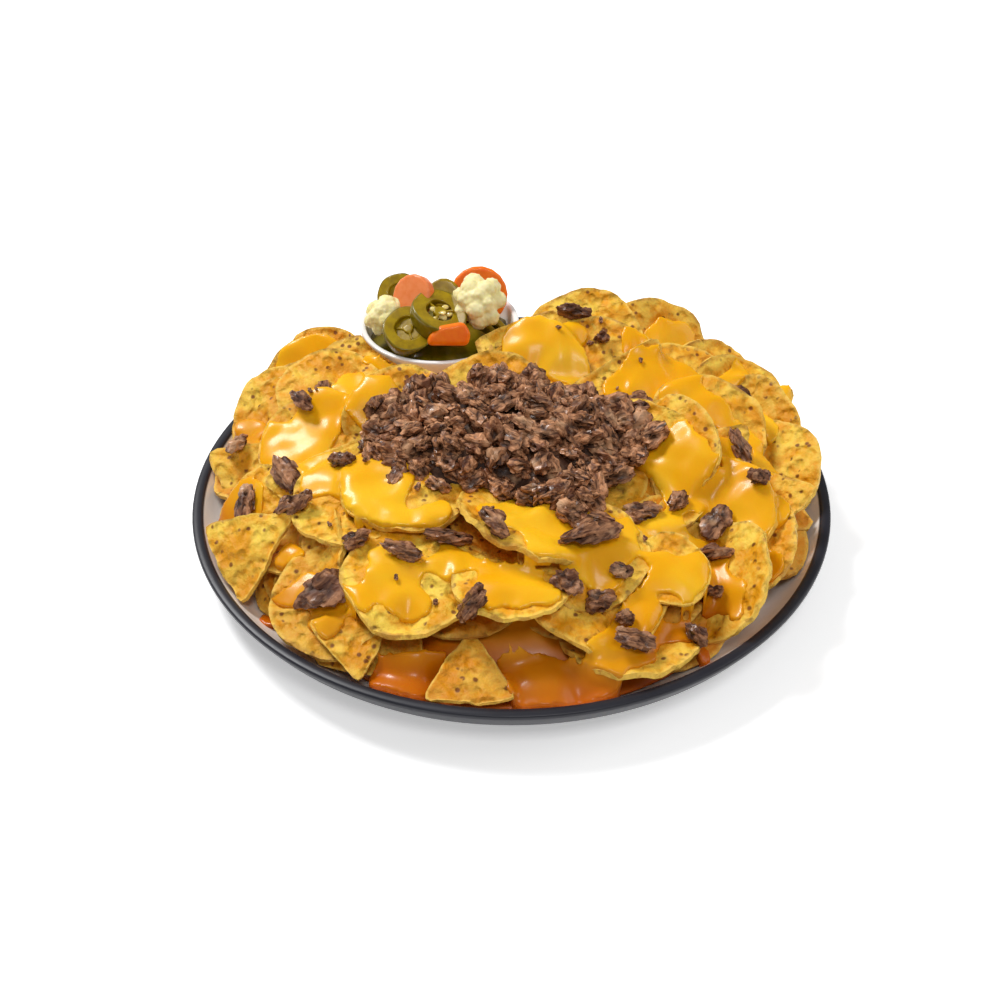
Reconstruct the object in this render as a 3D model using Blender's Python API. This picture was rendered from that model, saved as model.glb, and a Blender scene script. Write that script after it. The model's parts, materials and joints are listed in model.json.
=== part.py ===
"""Nachos on a round plate: a heap of tortilla chips with cheese sauce, a pile of chopped beef on top,
single pieces of beef on the slopes and a small bowl of pickled vegetables at the back.

Metres, +Z up. The origin is on the table under the middle of the plate, and -Y is the front.
"""
import math
import random

import bmesh
import bpy
from mathutils import Matrix, Vector, noise
from mathutils.bvhtree import BVHTree

MM = 0.001
GAP = 0.4 * MM  # between pieces that touch

# Plate
PLATE_RADIUS = 150 * MM
PLATE_HEIGHT = 22 * MM
PLATE_FLOOR = 6 * MM  # height of the eating surface
PLATE_FLOOR_RADIUS = 124 * MM
PLATE_LIP_RADIUS = 145 * MM  # inner edge of the dark lip
PLATE_WALL_POWER = 2.4
PLATE_STEPS = 40

# Heap of chips
HEAP_RADIUS = 139 * MM
HEAP_TOP = 57 * MM
HEAP_FRONT_EDGE = 14 * MM
HEAP_BACK_RISE = 14 * MM  # how much higher the heap's edge stands at the back
CHIP_SIZE = 56 * MM
CHIP_RINGS = ((0, 1), (34, 6), (64, 10), (92, 15), (117, 19))  # lower chips: ring radius in mm, chips in it
CHIP_BURIED = 0.55  # share of what its tilt raises a chip by which its middle lies lower
CHIP_SINK = 4 * MM  # how far a lower chip's middle lies under the heap's even surface
CHIP_LEAN = math.radians(13)
HEAP_BLUR = 5 * MM
HEAP_STEPS = 48
HEAP_RINGS = 12

# Courses of chips: how many, first and last bearing, distance from the middle and lift above the heap's
# even surface in mm, tilt from lying flat, first and last bearing that their upper faces lean towards
COURSES = (
    (5, 150, 218, 118, 0, 40, -110, -150),  # left edge
    (4, 160, 225, 90, 2, 25, -85, -115),  # left slope
    (5, 12, -42, 118, 0, 45, -135, -165),  # right edge
    (3, 25, -15, 90, 2, 30, -75, -95),  # right slope
    (3, 70, 30, 66, 2, 35, -95, -75),  # second row at the back
)

# Chips that stand out: x, y, lift and size in mm, tilt and the bearing that the upper face leans towards
SINGLE_CHIPS = (
    # standing along the back
    (38, 84, 4, 60, 45, -95),
    (75, 90, 4, 56, 50, -80),
    (110, 65, 4, 56, 50, -70),
    (110, 35, 4, 54, 40, -75),
    (125, 30, 6, 52, 40, -105),
    (-100, 75, 2, 56, 50, -100),
    (-75, 45, 0, 56, 35, -90),
    (8, 46, 3, 62, 40, -95),
    # round the pile of beef
    (-10, 15, 4, 60, 40, -90),
    (-50, 5, 5, 56, 40, -80),
    (70, -15, 5, 56, 45, -150),
    (60, -5, 6, 40, 40, -120),
    (90, -45, 3, 56, 40, -140),
    (8, -62, 2, 66, 22, 40),
    (-45, -45, 3, 58, 5, -90),
    (-70, -50, 3, 52, 10, -110),
    # down the front
    (30, -80, 2, 56, 15, -70),
    (65, -85, 4, 36, 15, -90),
    (35, -95, -2, 60, 10, -60),
    (50, -110, -5, 58, 15, 90),
    (0, -95, 2, 50, 5, 60),
    (-40, -90, 2, 60, 10, -90),
    (-54, -108, 0, 50, 32, -105),
    (-65, -115, -3, 34, 20, -80),
    (-17, -131, -2, 42, 22, -90),
    (-80, -100, -2, 54, 20, -115),
    # bare ones on the left
    (-115, 35, 2, 58, 35, -110),
    (-116, -62, -4, 44, 38, -125),
)

# Small bowl of pickled vegetables
BOWL_AT = Vector((-37 * MM, 86.5 * MM, PLATE_FLOOR + GAP))
BOWL_RADIUS = 41 * MM
BOWL_FOOT_RADIUS = 28 * MM
BOWL_HEIGHT = 50.5 * MM
BOWL_WALL = 3 * MM
BOWL_STEPS = 24
PICKLE_STEPS = 14
STRIP_WIDTH_SHARE = 0.45

# Pile of chopped beef
PILE_AT = Vector((-3 * MM, -12 * MM, 0))
PILE_HALF_WIDTH = 69 * MM
PILE_HALF_DEPTH = 44 * MM
PILE_HEIGHT = 15 * MM
PILE_LOBE = 22 * MM  # the tongue that runs down towards the front right
PILE_LOBE_BEARING = -58  # degrees
PILE_LOBE_WIDTH = 14
PILE_STEPS = 24
PILE_RINGS = 5

# Pools of cheese sauce that lie on the plate in front: bearing, half width in degrees
POOLS = ((-111, 12), (-78, 15))
POOL_NOTCH = 20 * MM  # how far the heap draws back behind a pool
POOL_HEIGHT = 5.5 * MM

# Single pieces of beef: x, y, length and width in mm, turn in degrees
BEEF = (
    # on the left
    (-90, 30, 14, 9, 100),
    (-98, 12, 18, 9, -50),
    (-130, 5, 12, 10, 30),
    (-100, -32, 22, 14, -60),
    (-120, -35, 18, 14, 80),
    (-95, -52, 22, 9, 5),
    (-75, -32, 13, 9, -30),
    # down the front
    (-78, -95, 26, 20, 15),
    (-65, -76, 12, 8, 20),
    (-45, -84, 18, 9, -15),
    (-27, -75, 20, 9, 5),
    (-7, -80, 16, 12, -40),
    (-15, -114, 20, 10, 20),
    (22, -101, 14, 13, 0),
    (36, -103, 12, 11, -10),
    (46, -110, 8, 8, 0),
    (45, -92, 10, 8, 0),
    (32, -78, 28, 12, 25),
    (50, -120, 18, 10, 5),
    (75, -111, 12, 9, -30),
    # on the right
    (57, -53, 16, 12, 10),
    (73, -46, 12, 10, 50),
    (88, -55, 18, 14, 50),
    (87, -70, 18, 7, 0),
    (108, -42, 10, 8, -10),
    (85, -88, 7, 6, 0),
    (95, 2, 20, 12, -20),
    (104, -16, 18, 14, -50),
    (112, 35, 22, 18, -20),
    (62, 22, 20, 12, 0),
    # at the back
    (33, 78, 18, 9, 10),
    (45, 64, 8, 7, 0),
    (80, 72, 10, 7, 0),
)
BEEF_LEAST_HEIGHT = 3.5 * MM
BEEF_HEIGHT_SHARE = 0.25  # how much a wider piece is higher

# Pickled vegetables are heaped above the bowl's rim by so much at the wall and in the middle
PICKLE_EDGE_RISE = 4 * MM
PICKLE_MOUND = 12 * MM

# Pickled vegetables: name, x and y from the bowl's middle and lift above the mound, then outer and inner
# diameter and thickness in mm, then tilt, the bearing that the upper face leans towards and a turn about its
# own axis in degrees. An inner diameter of 0 is a slice with no hole.
PICKLES = (
    ("jalapeno_ring_front", -14, -23, -3, 26, 14, 5, 24, -105, 0),
    ("carrot_wedge", 6, -30, 0, 21, 0, 11, 60, -80, 20),
    ("jalapeno_ring_middle", 1, -18, 0, 30, 15, 5, 20, -75, 0),
    ("cauliflower_right", 20, -8, 2, 23, 0, 21, 0, 0, 0),
    ("carrot_slice_left", -12, -5, 2, 22, 0, 7, 55, -125, 0),
    ("cauliflower_left", -26, -8, -4, 19, 0, 21, 0, 0, 0),
    ("jalapeno_strip_right", 24, -16, -10, 15, 0, 5, 30, -60, 0),
    ("carrot_slice_right", 20, 14, -5, 30, 0, 7, 60, -85, 0),
    ("jalapeno_slice_back", 2, 10, -6, 17, 0, 5, 50, -90, 0),
    ("jalapeno_ring_back", -22, 18, -5, 22, 9, 5, 50, -110, 0),
    ("jalapeno_strip_front", 2, -26, -12, 19, 0, 4, 20, -90, 0),
)
PICKLE_COLOURS = {
    "jalapeno": (0.2, 0.19, 0.02),
    "carrot": (0.9, 0.25, 0.03),
    "cauliflower": (0.75, 0.72, 0.4),
}


def smooth_step(t):
    t = min(1.0, max(0.0, t))
    return t * t * (3 - 2 * t)


def hump(angle, at_degrees, width_degrees):
    """1 at a bearing and fading out on both sides of it."""
    away = (angle - math.radians(at_degrees) + math.pi) % math.tau - math.pi
    return math.exp(-((away / math.radians(width_degrees)) ** 2))


def material(name, colour, roughness):
    made = bpy.data.materials.new(name)
    made.use_nodes = True
    shader = made.node_tree.nodes["Principled BSDF"]
    shader.inputs["Base Color"].default_value = (*colour, 1)
    shader.inputs["Roughness"].default_value = roughness
    made.diffuse_color = (*colour, 1)
    return made


def add_object(name, mesh_builder, finish):
    """A bmesh as a smooth-shaded object of that name and material."""
    bmesh.ops.recalc_face_normals(mesh_builder, faces=mesh_builder.faces)
    mesh = bpy.data.meshes.new(name)
    mesh_builder.to_mesh(mesh)
    mesh_builder.free()
    mesh.shade_smooth()
    mesh.set_sharp_from_angle(angle=math.radians(40))
    mesh.materials.append(finish)
    obj = bpy.data.objects.new(name, mesh)
    bpy.context.scene.collection.objects.link(obj)
    return obj


def turned(profile, steps):
    """A bmesh of a closed profile, (radius, height) pairs, turned about Z. Radius 0 becomes one point."""
    bm = bmesh.new()
    rings = []
    for radius, height in profile:
        if radius == 0:
            rings.append([bm.verts.new((0, 0, height))])
            continue
        angles = (math.tau * k / steps for k in range(steps))
        rings.append([bm.verts.new((radius * math.cos(a), radius * math.sin(a), height)) for a in angles])
    for lower, upper in zip(rings, rings[1:]):
        bridge(bm, lower, upper)
    return bm


def bridge(bm, first, second):
    """Faces between two rings of points, either of which may be a single point."""
    count = max(len(first), len(second))
    for k in range(count):
        after = k + 1
        corners = [first[k % len(first)], first[after % len(first)]]
        corners += [second[after % len(second)], second[k % len(second)]]
        bm.faces.new(list(dict.fromkeys(corners)))


def plate_inside(radius):
    """Height of the plate's inner surface at a distance from its middle."""
    rise = max(0.0, radius - PLATE_FLOOR_RADIUS) / (PLATE_LIP_RADIUS - PLATE_FLOOR_RADIUS)
    return PLATE_FLOOR + (PLATE_HEIGHT - 1 * MM - PLATE_FLOOR) * rise**PLATE_WALL_POWER


def above_plate(radius):
    """A height that clears the plate's faceted inner surface."""
    return plate_inside(radius * 1.003) + 2 * GAP


def make_plate():
    inner = [(r * MM, plate_inside(r * MM)) for r in (145, 142, 138, 133, 128, 124)]
    outer = [(108, 2.0), (111, 0), (117, 0), (120, 2.2)]
    outer += [(133, 3.4), (140, 6.2), (144.75, 11), (148, 16.5)]
    lip = [(149.7, 19.8), (150, 21), (149.2, 21.8), (147.6, 22), (146.2, 21.8)]
    profile = [(0, 2.0 * MM)] + [(r * MM, z * MM) for r, z in outer + lip] + inner + [(0, PLATE_FLOOR)]
    finish = material("glazed_plate", (0.03, 0.03, 0.04), 0.3)
    return add_object("plate", turned(profile, PLATE_STEPS), finish)


def make_bowl():
    height, wall = BOWL_HEIGHT, BOWL_WALL
    slope = (BOWL_RADIUS - BOWL_FOOT_RADIUS) / height
    outer = [(0, 1.2 * MM), (BOWL_FOOT_RADIUS - 4 * MM, 1.2 * MM), (BOWL_FOOT_RADIUS - 3 * MM, 0)]
    outer += [(BOWL_FOOT_RADIUS, 0), (BOWL_FOOT_RADIUS + 3.5 * MM, 5 * MM)]
    outer += [(BOWL_FOOT_RADIUS + 3 * MM + slope * height * t * 0.78, height * t) for t in (0.35, 0.65)]
    lip = [(BOWL_RADIUS - 0.4 * MM, height - 2 * MM), (BOWL_RADIUS, height - 1 * MM)]
    lip += [(BOWL_RADIUS - 1 * MM, height), (BOWL_RADIUS - wall + 0.8 * MM, height)]
    lip += [(BOWL_RADIUS - wall, height - 1.2 * MM)]
    inner = [(bowl_inside(height * t), height * t) for t in (0.65, 0.35, 0.16)]
    inner += [(bowl_inside(height * 0.16) - 6 * MM, 4.5 * MM), (0, 4.5 * MM)]
    bm = turned(outer + lip + inner, BOWL_STEPS)
    bmesh.ops.translate(bm, verts=bm.verts, vec=BOWL_AT)
    return add_object("dip_bowl", bm, material("white_glaze", (0.85, 0.84, 0.82), 0.2))


def bowl_inside(height):
    """Inner radius of the small bowl at a height above its foot."""
    slope = (BOWL_RADIUS - BOWL_FOOT_RADIUS) / BOWL_HEIGHT
    return BOWL_FOOT_RADIUS + 3 * MM + slope * height * 0.78 - BOWL_WALL


def footprint(bearing):
    """How far the heap reaches from the plate's middle in a direction."""
    reach = HEAP_RADIUS - 7 * MM * hump(bearing, -134, 20) - 8 * MM * hump(bearing, -46, 17)
    for at, half_width in POOLS:
        reach -= POOL_NOTCH * hump(bearing, at, half_width * 0.75)
    return reach


def heap_even(x, y):
    """Height of the heap with its chips evened out: low at the front edge, a standing crown at the back."""
    bearing, away = math.atan2(y, x), math.hypot(x, y)
    edge = HEAP_FRONT_EDGE + HEAP_BACK_RISE * smooth_step((math.sin(bearing) + 0.8) / 1.5)
    power = 2.4 + 1.6 * smooth_step((math.sin(bearing) + 1) / 2)
    share = min(1.0, away / HEAP_RADIUS)
    return edge + (HEAP_TOP - edge) * (1 - share**power) ** 0.8


def chip_courses():
    """Rows like those of SINGLE_CHIPS for the chips of all courses, a little uneven."""
    chance = random.Random(5)
    rows = []
    for count, first, last, distance, lift, tilt, first_facing, last_facing in COURSES:
        for k in range(count):
            share = k / (count - 1)
            bearing = math.radians(first + (last - first) * share)
            away = distance + chance.uniform(-4, 4)
            size = CHIP_SIZE / MM + chance.uniform(-3, 2)
            facing = first_facing + (last_facing - first_facing) * share + chance.uniform(-10, 10)
            leaning = tilt + chance.uniform(-6, 6)
            rows.append((away * math.cos(bearing), away * math.sin(bearing), lift, size, leaning, facing))
    return rows


def chip_seats():
    """(middle, normal, radius) of all chips that make the heap's uneven surface."""
    seats = []
    for x, y, lift, size, tilt, facing in SINGLE_CHIPS + tuple(chip_courses()):
        away = math.sin(math.radians(tilt))
        facing = math.radians(facing)
        normal = Vector((away * math.cos(facing), away * math.sin(facing), math.cos(math.radians(tilt))))
        raised = lift - CHIP_BURIED * size / 2 * away
        middle = Vector((x * MM, y * MM, heap_even(x * MM, y * MM) + raised * MM))
        seats.append((middle, normal, size * MM / 2))
    chance = random.Random(7)
    step = 6 * MM
    for ring, count in CHIP_RINGS:
        turn = chance.uniform(0, math.tau)
        for k in range(count):
            bearing = turn + math.tau * k / count + chance.uniform(-0.1, 0.1)
            away = (ring + chance.uniform(-4, 4)) * MM
            x, y = away * math.cos(bearing), away * math.sin(bearing)
            slope_x = (heap_even(x + step, y) - heap_even(x - step, y)) / (2 * step)
            slope_y = (heap_even(x, y + step) - heap_even(x, y - step)) / (2 * step)
            lean = Vector((chance.uniform(-1, 1), chance.uniform(-1, 1), 0)) * math.tan(CHIP_LEAN)
            normal = (Vector((-slope_x, -slope_y, 1)) + lean).normalized()
            seats.append((Vector((x, y, heap_even(x, y) - CHIP_SINK)), normal, CHIP_SIZE / 2))
    return seats


def chip_height(x, y, seats):
    """Height of the highest chip at a point, or of the hollow between chips."""
    height = heap_even(x, y) - 2.5 * CHIP_SINK
    for middle, normal, radius in seats:
        offset_x, offset_y = x - middle.x, y - middle.y
        drop = (normal.x * offset_x + normal.y * offset_y) / normal.z
        if math.sqrt(offset_x**2 + offset_y**2 + drop**2) < radius:
            height = max(height, middle.z - drop)
    return height


def heap_height(x, y, seats):
    """Height of the heap at a point, evened out over HEAP_BLUR so that chip edges make no spikes."""
    around = [(x, y), (x, y)]
    around += [(x + HEAP_BLUR, y), (x - HEAP_BLUR, y), (x, y + HEAP_BLUR), (x, y - HEAP_BLUR)]
    return sum(chip_height(east, north, seats) for east, north in around) / len(around)


def heap_mesh(lift=0.0):
    """A bmesh of the heap on the plate: an uneven top on a polar grid and an underside along the plate."""
    seats = chip_seats()
    bm = bmesh.new()
    top_rings, bottom_rings = [[bm.verts.new((0, 0, heap_height(0, 0, seats) + lift))]], []
    for ring in range(1, HEAP_RINGS + 1):
        share = (ring / HEAP_RINGS) ** 0.85
        points = []
        for k in range(HEAP_STEPS):
            bearing = math.tau * k / HEAP_STEPS
            away = footprint(bearing) * share
            x, y = away * math.cos(bearing), away * math.sin(bearing)
            lowest = above_plate(away) + 2 * MM
            points.append(bm.verts.new((x, y, max(lowest, heap_height(x, y, seats)) + lift)))
        top_rings.append(points)
    for share in (1.0, 0.965, 0.93, 0.88, 0.5):
        points = []
        for k in range(HEAP_STEPS):
            bearing = math.tau * k / HEAP_STEPS
            away = footprint(bearing) * share
            x, y = away * math.cos(bearing), away * math.sin(bearing)
            points.append(bm.verts.new((x, y, above_plate(away))))
        bottom_rings.append(points)
    bottom_rings.append([bm.verts.new((0, 0, above_plate(0)))])
    rings = top_rings + bottom_rings
    for first, second in zip(rings, rings[1:]):
        bridge(bm, first, second)
    bmesh.ops.triangulate(bm, faces=bm.faces)
    return bm


def make_cutter(name, bm):
    """A shape that others are cut by. It is no piece of the plate of food."""
    finish = bpy.data.materials.get("cutter") or material("cutter", (1, 0, 0), 1)
    cutter = add_object(name, bm, finish)
    cutter.hide_render = True
    cutter.display_type = "WIRE"
    return cutter


def cut(obj, cutter):
    boolean = obj.modifiers.new("cut", "BOOLEAN")
    boolean.operation = "DIFFERENCE"
    boolean.object = cutter


def bowl_room():
    """The room that the small bowl takes out of the heap, open towards the plate's back edge."""
    bm = bmesh.new()
    reach = BOWL_RADIUS + 1.2 * MM
    outward = Vector((BOWL_AT.x, BOWL_AT.y, 0)).normalized()
    side = Vector((-outward.y, outward.x, 0))
    outline = []
    for k in range(21):
        angle = math.pi * k / 20
        outline.append(BOWL_AT - outward * reach * math.sin(angle) + side * reach * math.cos(angle))
    outline += [outline[-1] + outward * 90 * MM, outline[0] + outward * 90 * MM]
    low = [bm.verts.new((p.x, p.y, -10 * MM)) for p in outline]
    high = [bm.verts.new((p.x, p.y, 120 * MM)) for p in outline]
    bm.faces.new(low)
    bm.faces.new(high)
    bridge(bm, low, high)
    return bm


def make_heap():
    heap = add_object("nachos_heap", heap_mesh(), material("corn_chip", (0.85, 0.55, 0.15), 0.6))
    cut(heap, make_cutter("bowl_room", bowl_room()))
    return heap


def pile_reach(bearing):
    """How far the beef pile reaches from its own middle in a direction."""
    oval = PILE_HALF_WIDTH * PILE_HALF_DEPTH / math.hypot(
        PILE_HALF_DEPTH * math.cos(bearing), PILE_HALF_WIDTH * math.sin(bearing)
    )
    ragged = 2.5 * MM * math.sin(5 * bearing + 1) + 1.5 * MM * math.sin(11 * bearing)
    return oval + ragged + PILE_LOBE * hump(bearing, PILE_LOBE_BEARING, PILE_LOBE_WIDTH)


def make_pile():
    """The pile of chopped beef: a lumpy cap whose underside is cut to the heap."""
    bm = bmesh.new()
    rings = [[bm.verts.new((PILE_AT.x, PILE_AT.y, HEAP_TOP + PILE_HEIGHT))]]
    for ring in range(1, PILE_RINGS + 1):
        share = ring / PILE_RINGS
        points = []
        for k in range(PILE_STEPS):
            bearing = math.tau * k / PILE_STEPS
            away = pile_reach(bearing) * share
            x, y = PILE_AT.x + away * math.cos(bearing), PILE_AT.y + away * math.sin(bearing)
            lump = 2.2 * MM * noise.noise(Vector((x, y, 0)) / (7 * MM))
            thick = PILE_HEIGHT * (1 - share**2.6) + 4 * MM
            points.append(bm.verts.new((x, y, heap_even(x, y) + thick + lump)))
        rings.append(points)
    lowest = [bm.verts.new(vert.co - Vector((0, 0, 16 * MM))) for vert in rings[-1]]
    rings += [lowest, [bm.verts.new((PILE_AT.x, PILE_AT.y, HEAP_TOP - 25 * MM))]]
    for first, second in zip(rings, rings[1:]):
        bridge(bm, first, second)
    bmesh.ops.triangulate(bm, faces=bm.faces)
    pile = add_object("beef_pile", bm, material("chopped_beef", (0.14, 0.06, 0.035), 0.5))
    cut(pile, make_cutter("heap_room", heap_mesh(lift=GAP)))
    return pile


def make_pool(index, at, half_width):
    """A pool of cheese sauce that lies on the plate where the heap draws back."""
    columns, rows = 8, 3
    bm = bmesh.new()
    top, bottom = [], []
    for i in range(columns + 1):
        side = 2 * i / columns - 1
        bearing = math.radians(at + half_width * side)
        inner = footprint(bearing) + 2.6 * MM
        outer = max(inner + 2 * MM, 142 * MM - 9 * MM * abs(side) ** 3)
        for j in range(rows + 1):
            share = j / rows
            away = inner + (outer - inner) * share
            x, y = away * math.cos(bearing), away * math.sin(bearing)
            floor = above_plate(away)
            bulge = (1 - abs(side) ** 3) * (1 - share**3)
            bottom.append(bm.verts.new((x, y, floor)))
            top.append(bm.verts.new((x, y, floor + 0.8 * MM + POOL_HEIGHT * bulge)))
    wide = rows + 1
    for i in range(columns):
        for j in range(rows):
            k = i * wide + j
            bm.faces.new((top[k], top[k + wide], top[k + wide + 1], top[k + 1]))
            bm.faces.new((bottom[k], bottom[k + 1], bottom[k + wide + 1], bottom[k + wide]))
    rim = [i * wide for i in range(columns + 1)] + [columns * wide + j for j in range(1, wide)]
    rim += [i * wide + rows for i in range(columns - 1, -1, -1)] + [j for j in range(rows - 1, 0, -1)]
    bridge(bm, [bottom[k] for k in rim], [top[k] for k in rim])
    finish = material(f"cheese_sauce_{index}", (1, 0.5, 0.03), 0.25)
    return add_object(f"cheese_pool_{index}", bm, finish)


def rounded_disc(radius, thickness, grow=0.0):
    """Profile of a round slice with rounded edges."""
    radius, half = radius + grow, thickness / 2 + grow
    edge = min(half, radius) * 0.6
    lower = [(0, -half), (radius - edge, -half), (radius, -half + edge)]
    return lower + [(r, -z) for r, z in reversed(lower)]


def rounded_ring(outer, inner, thickness, grow=0.0):
    """Closed profile of a ring-shaped slice with rounded edges, its last point being its first."""
    middle, half_wide, half = (outer + inner) / 2, (outer - inner) / 2 + grow, thickness / 2 + grow
    corner = 0.6
    shares = [(-corner, -1), (corner, -1), (1, -corner), (1, corner)]
    shares += [(-u, -v) for u, v in shares] + shares[:1]
    return [(middle + half_wide * u, half * v) for u, v in shares]


def pickle_mesh(name, x, y, lift, outer, inner, thickness, tilt, facing, turn, grow=0.0):
    """A bmesh of one piece of pickled vegetable in its place."""
    if name.startswith("cauliflower"):
        bm = bmesh.new()
        bmesh.ops.create_icosphere(bm, subdivisions=3 if grow == 0 else 2, radius=1)
        for vert in bm.verts:
            lump = 1 + 0.13 * noise.noise(vert.co * 2.3 + Vector((outer, 0, 0)))
            vert.co *= lump * (outer * MM / 2 - 0.5 * MM + 2.2 * grow)
    elif inner:
        bm = turned(rounded_ring(outer * MM / 2, inner * MM / 2, thickness * MM, grow), PICKLE_STEPS)
        bmesh.ops.remove_doubles(bm, verts=bm.verts, dist=0.05 * MM)
    else:
        bm = turned(rounded_disc(outer * MM / 2, thickness * MM, grow), PICKLE_STEPS)
        if "strip" in name:
            bmesh.ops.scale(bm, verts=bm.verts, vec=(1, STRIP_WIDTH_SHARE + 0.3 * grow / MM, 1))
    from_middle = min(1.0, math.hypot(x, y) * MM / BOWL_RADIUS)
    above_rim = PICKLE_EDGE_RISE + PICKLE_MOUND * (1 - from_middle**2) + lift * MM
    place = Matrix.Translation(BOWL_AT + Vector((x * MM, y * MM, BOWL_HEIGHT + above_rim)))
    for degrees, axis in ((facing, "Z"), (tilt, "Y"), (turn, "Z")):
        place = place @ Matrix.Rotation(math.radians(degrees), 4, axis)
    bmesh.ops.transform(bm, matrix=place, verts=bm.verts)
    return bm


def make_pickles():
    """Pieces of pickled vegetables, each cut clear of those before it, and the fill that they rest in."""
    rooms = []
    for row in PICKLES:
        name = row[0]
        finish = material(f"{name}_skin", PICKLE_COLOURS[name.split("_")[0]], 0.25)
        piece = add_object(name, pickle_mesh(*row), finish)
        for room in rooms:
            cut(piece, room)
        rooms.append(make_cutter(f"{name}_room", pickle_mesh(*row, grow=GAP)))
    height = BOWL_HEIGHT
    profile = [(0, 4.5 * MM + GAP), (bowl_inside(height * 0.16) - 6.5 * MM, 4.5 * MM + GAP)]
    profile += [(bowl_inside(height * t) - 1.2 * GAP, height * t) for t in (0.16, 0.65, 0.86)]
    profile += [(23 * MM, height * 0.97), (0, height * 1.1)]
    bm = turned(profile, BOWL_STEPS)
    bmesh.ops.translate(bm, verts=bm.verts, vec=BOWL_AT)
    fill = add_object("pickle_fill", bm, material("pickle_mix", (0.35, 0.33, 0.08), 0.3))
    for room in rooms:
        cut(fill, room)


def surface_of(obj):
    """A search tree of an object's evaluated mesh."""
    evaluated = obj.evaluated_get(bpy.context.evaluated_depsgraph_get())
    mesh = evaluated.to_mesh()
    places = [obj.matrix_world @ vert.co for vert in mesh.vertices]
    tree = BVHTree.FromPolygons(places, [list(face.vertices) for face in mesh.polygons])
    evaluated.to_mesh_clear()
    return tree


def surface_height(x, y, supports):
    """The highest point of the supports below (x, y, 1 m)."""
    hits = [tree.ray_cast(Vector((x, y, 1)), Vector((0, 0, -1)))[0] for tree in supports]
    return max((hit.z for hit in hits if hit), default=PLATE_FLOOR)


def surface_normal(x, y, reach, supports):
    """Upward normal of the supports around a point, from four heights around it."""
    east, west = surface_height(x + reach, y, supports), surface_height(x - reach, y, supports)
    north, south = surface_height(x, y + reach, supports), surface_height(x, y - reach, supports)
    return Vector(((west - east) / (2 * reach), (south - north) / (2 * reach), 1)).normalized()


def settle(bm, supports):
    """Move a piece along Z until it just clears the supports."""
    lift = max(surface_height(vert.co.x, vert.co.y, supports) - vert.co.z for vert in bm.verts)
    bmesh.ops.translate(bm, verts=bm.verts, vec=(0, 0, lift + GAP))
    while any(BVHTree.FromBMesh(bm).overlap(tree) for tree in supports):
        bmesh.ops.translate(bm, verts=bm.verts, vec=(0, 0, GAP))
    bmesh.ops.translate(bm, verts=bm.verts, vec=(0, 0, GAP))


def make_beef(supports):
    """Single pieces of beef, each laid on the heap and clear of the pieces before it."""
    for index, (x, y, length, width, turn) in enumerate(BEEF):
        name = f"beef_{index + 1:02d}"
        size = Vector((length * MM, width * MM, BEEF_LEAST_HEIGHT + BEEF_HEIGHT_SHARE * width * MM))
        bm = bmesh.new()
        bmesh.ops.create_icosphere(bm, subdivisions=2, radius=0.5)
        for vert in bm.verts:
            lump = 1 + 0.3 * noise.noise(vert.co * 2.6 + Vector((7 * index, 0, 0)))
            vert.co = vert.co * size * lump
        level = Vector((0, 0, 1)).rotation_difference(surface_normal(x * MM, y * MM, 6 * MM, supports))
        place = Matrix.Translation((x * MM, y * MM, 0)) @ level.to_matrix().to_4x4()
        bmesh.ops.transform(bm, matrix=place @ Matrix.Rotation(math.radians(turn), 4, "Z"), verts=bm.verts)
        settle(bm, supports)
        piece = add_object(name, bm, material(name, (0.12, 0.05, 0.03), 0.45))
        bpy.context.view_layer.update()
        supports.append(surface_of(piece))


def main():
    for obj in list(bpy.data.objects):
        bpy.data.objects.remove(obj)
    plate = make_plate()
    make_bowl()
    make_pickles()
    heap = make_heap()
    pile = make_pile()
    pools = [make_pool(index, at, half_width) for index, (at, half_width) in enumerate(POOLS, start=1)]
    bpy.context.view_layer.update()
    make_beef([surface_of(obj) for obj in (plate, heap, pile, *pools)])


main()
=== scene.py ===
"""Nachos on a round plate: tortilla chips under cheese sauce, chopped beef, and a small bowl of pickles.

Metres, +Z up, the plate's middle over the origin, the front towards -Y.
"""

import heapq
import json
import math
import random

import bpy
import numpy as np
from mathutils import Matrix, Vector
from mathutils.bvhtree import BVHTree

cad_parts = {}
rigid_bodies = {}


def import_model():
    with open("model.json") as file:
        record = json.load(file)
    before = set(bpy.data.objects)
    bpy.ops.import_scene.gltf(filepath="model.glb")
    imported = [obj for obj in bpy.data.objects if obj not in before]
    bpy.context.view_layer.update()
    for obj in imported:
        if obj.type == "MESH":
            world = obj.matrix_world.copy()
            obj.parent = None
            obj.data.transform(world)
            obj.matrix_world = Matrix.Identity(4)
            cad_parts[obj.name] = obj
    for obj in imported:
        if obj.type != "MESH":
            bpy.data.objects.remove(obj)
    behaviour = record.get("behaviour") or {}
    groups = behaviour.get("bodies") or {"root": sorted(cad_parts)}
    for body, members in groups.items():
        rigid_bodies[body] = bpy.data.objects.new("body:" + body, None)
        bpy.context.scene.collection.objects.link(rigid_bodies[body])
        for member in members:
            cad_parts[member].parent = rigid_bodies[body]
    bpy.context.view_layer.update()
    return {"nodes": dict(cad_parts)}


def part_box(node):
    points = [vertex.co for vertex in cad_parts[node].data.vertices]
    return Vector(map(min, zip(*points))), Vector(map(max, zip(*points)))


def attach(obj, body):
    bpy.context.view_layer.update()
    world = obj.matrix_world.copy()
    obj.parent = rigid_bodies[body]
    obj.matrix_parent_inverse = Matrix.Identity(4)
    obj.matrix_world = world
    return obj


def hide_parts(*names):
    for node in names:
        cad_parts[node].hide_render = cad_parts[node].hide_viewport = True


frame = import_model()
MM = 0.001

# Camera: how far the lens stands from the rim's middle, how steeply it looks down, and the framing
CAMERA_DISTANCE = 0.6
CAMERA_ELEVATION = math.radians(37.9)
CAMERA_LENS = 45.2
CAMERA_SHIFT = (-0.0115, -0.0232)

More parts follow.
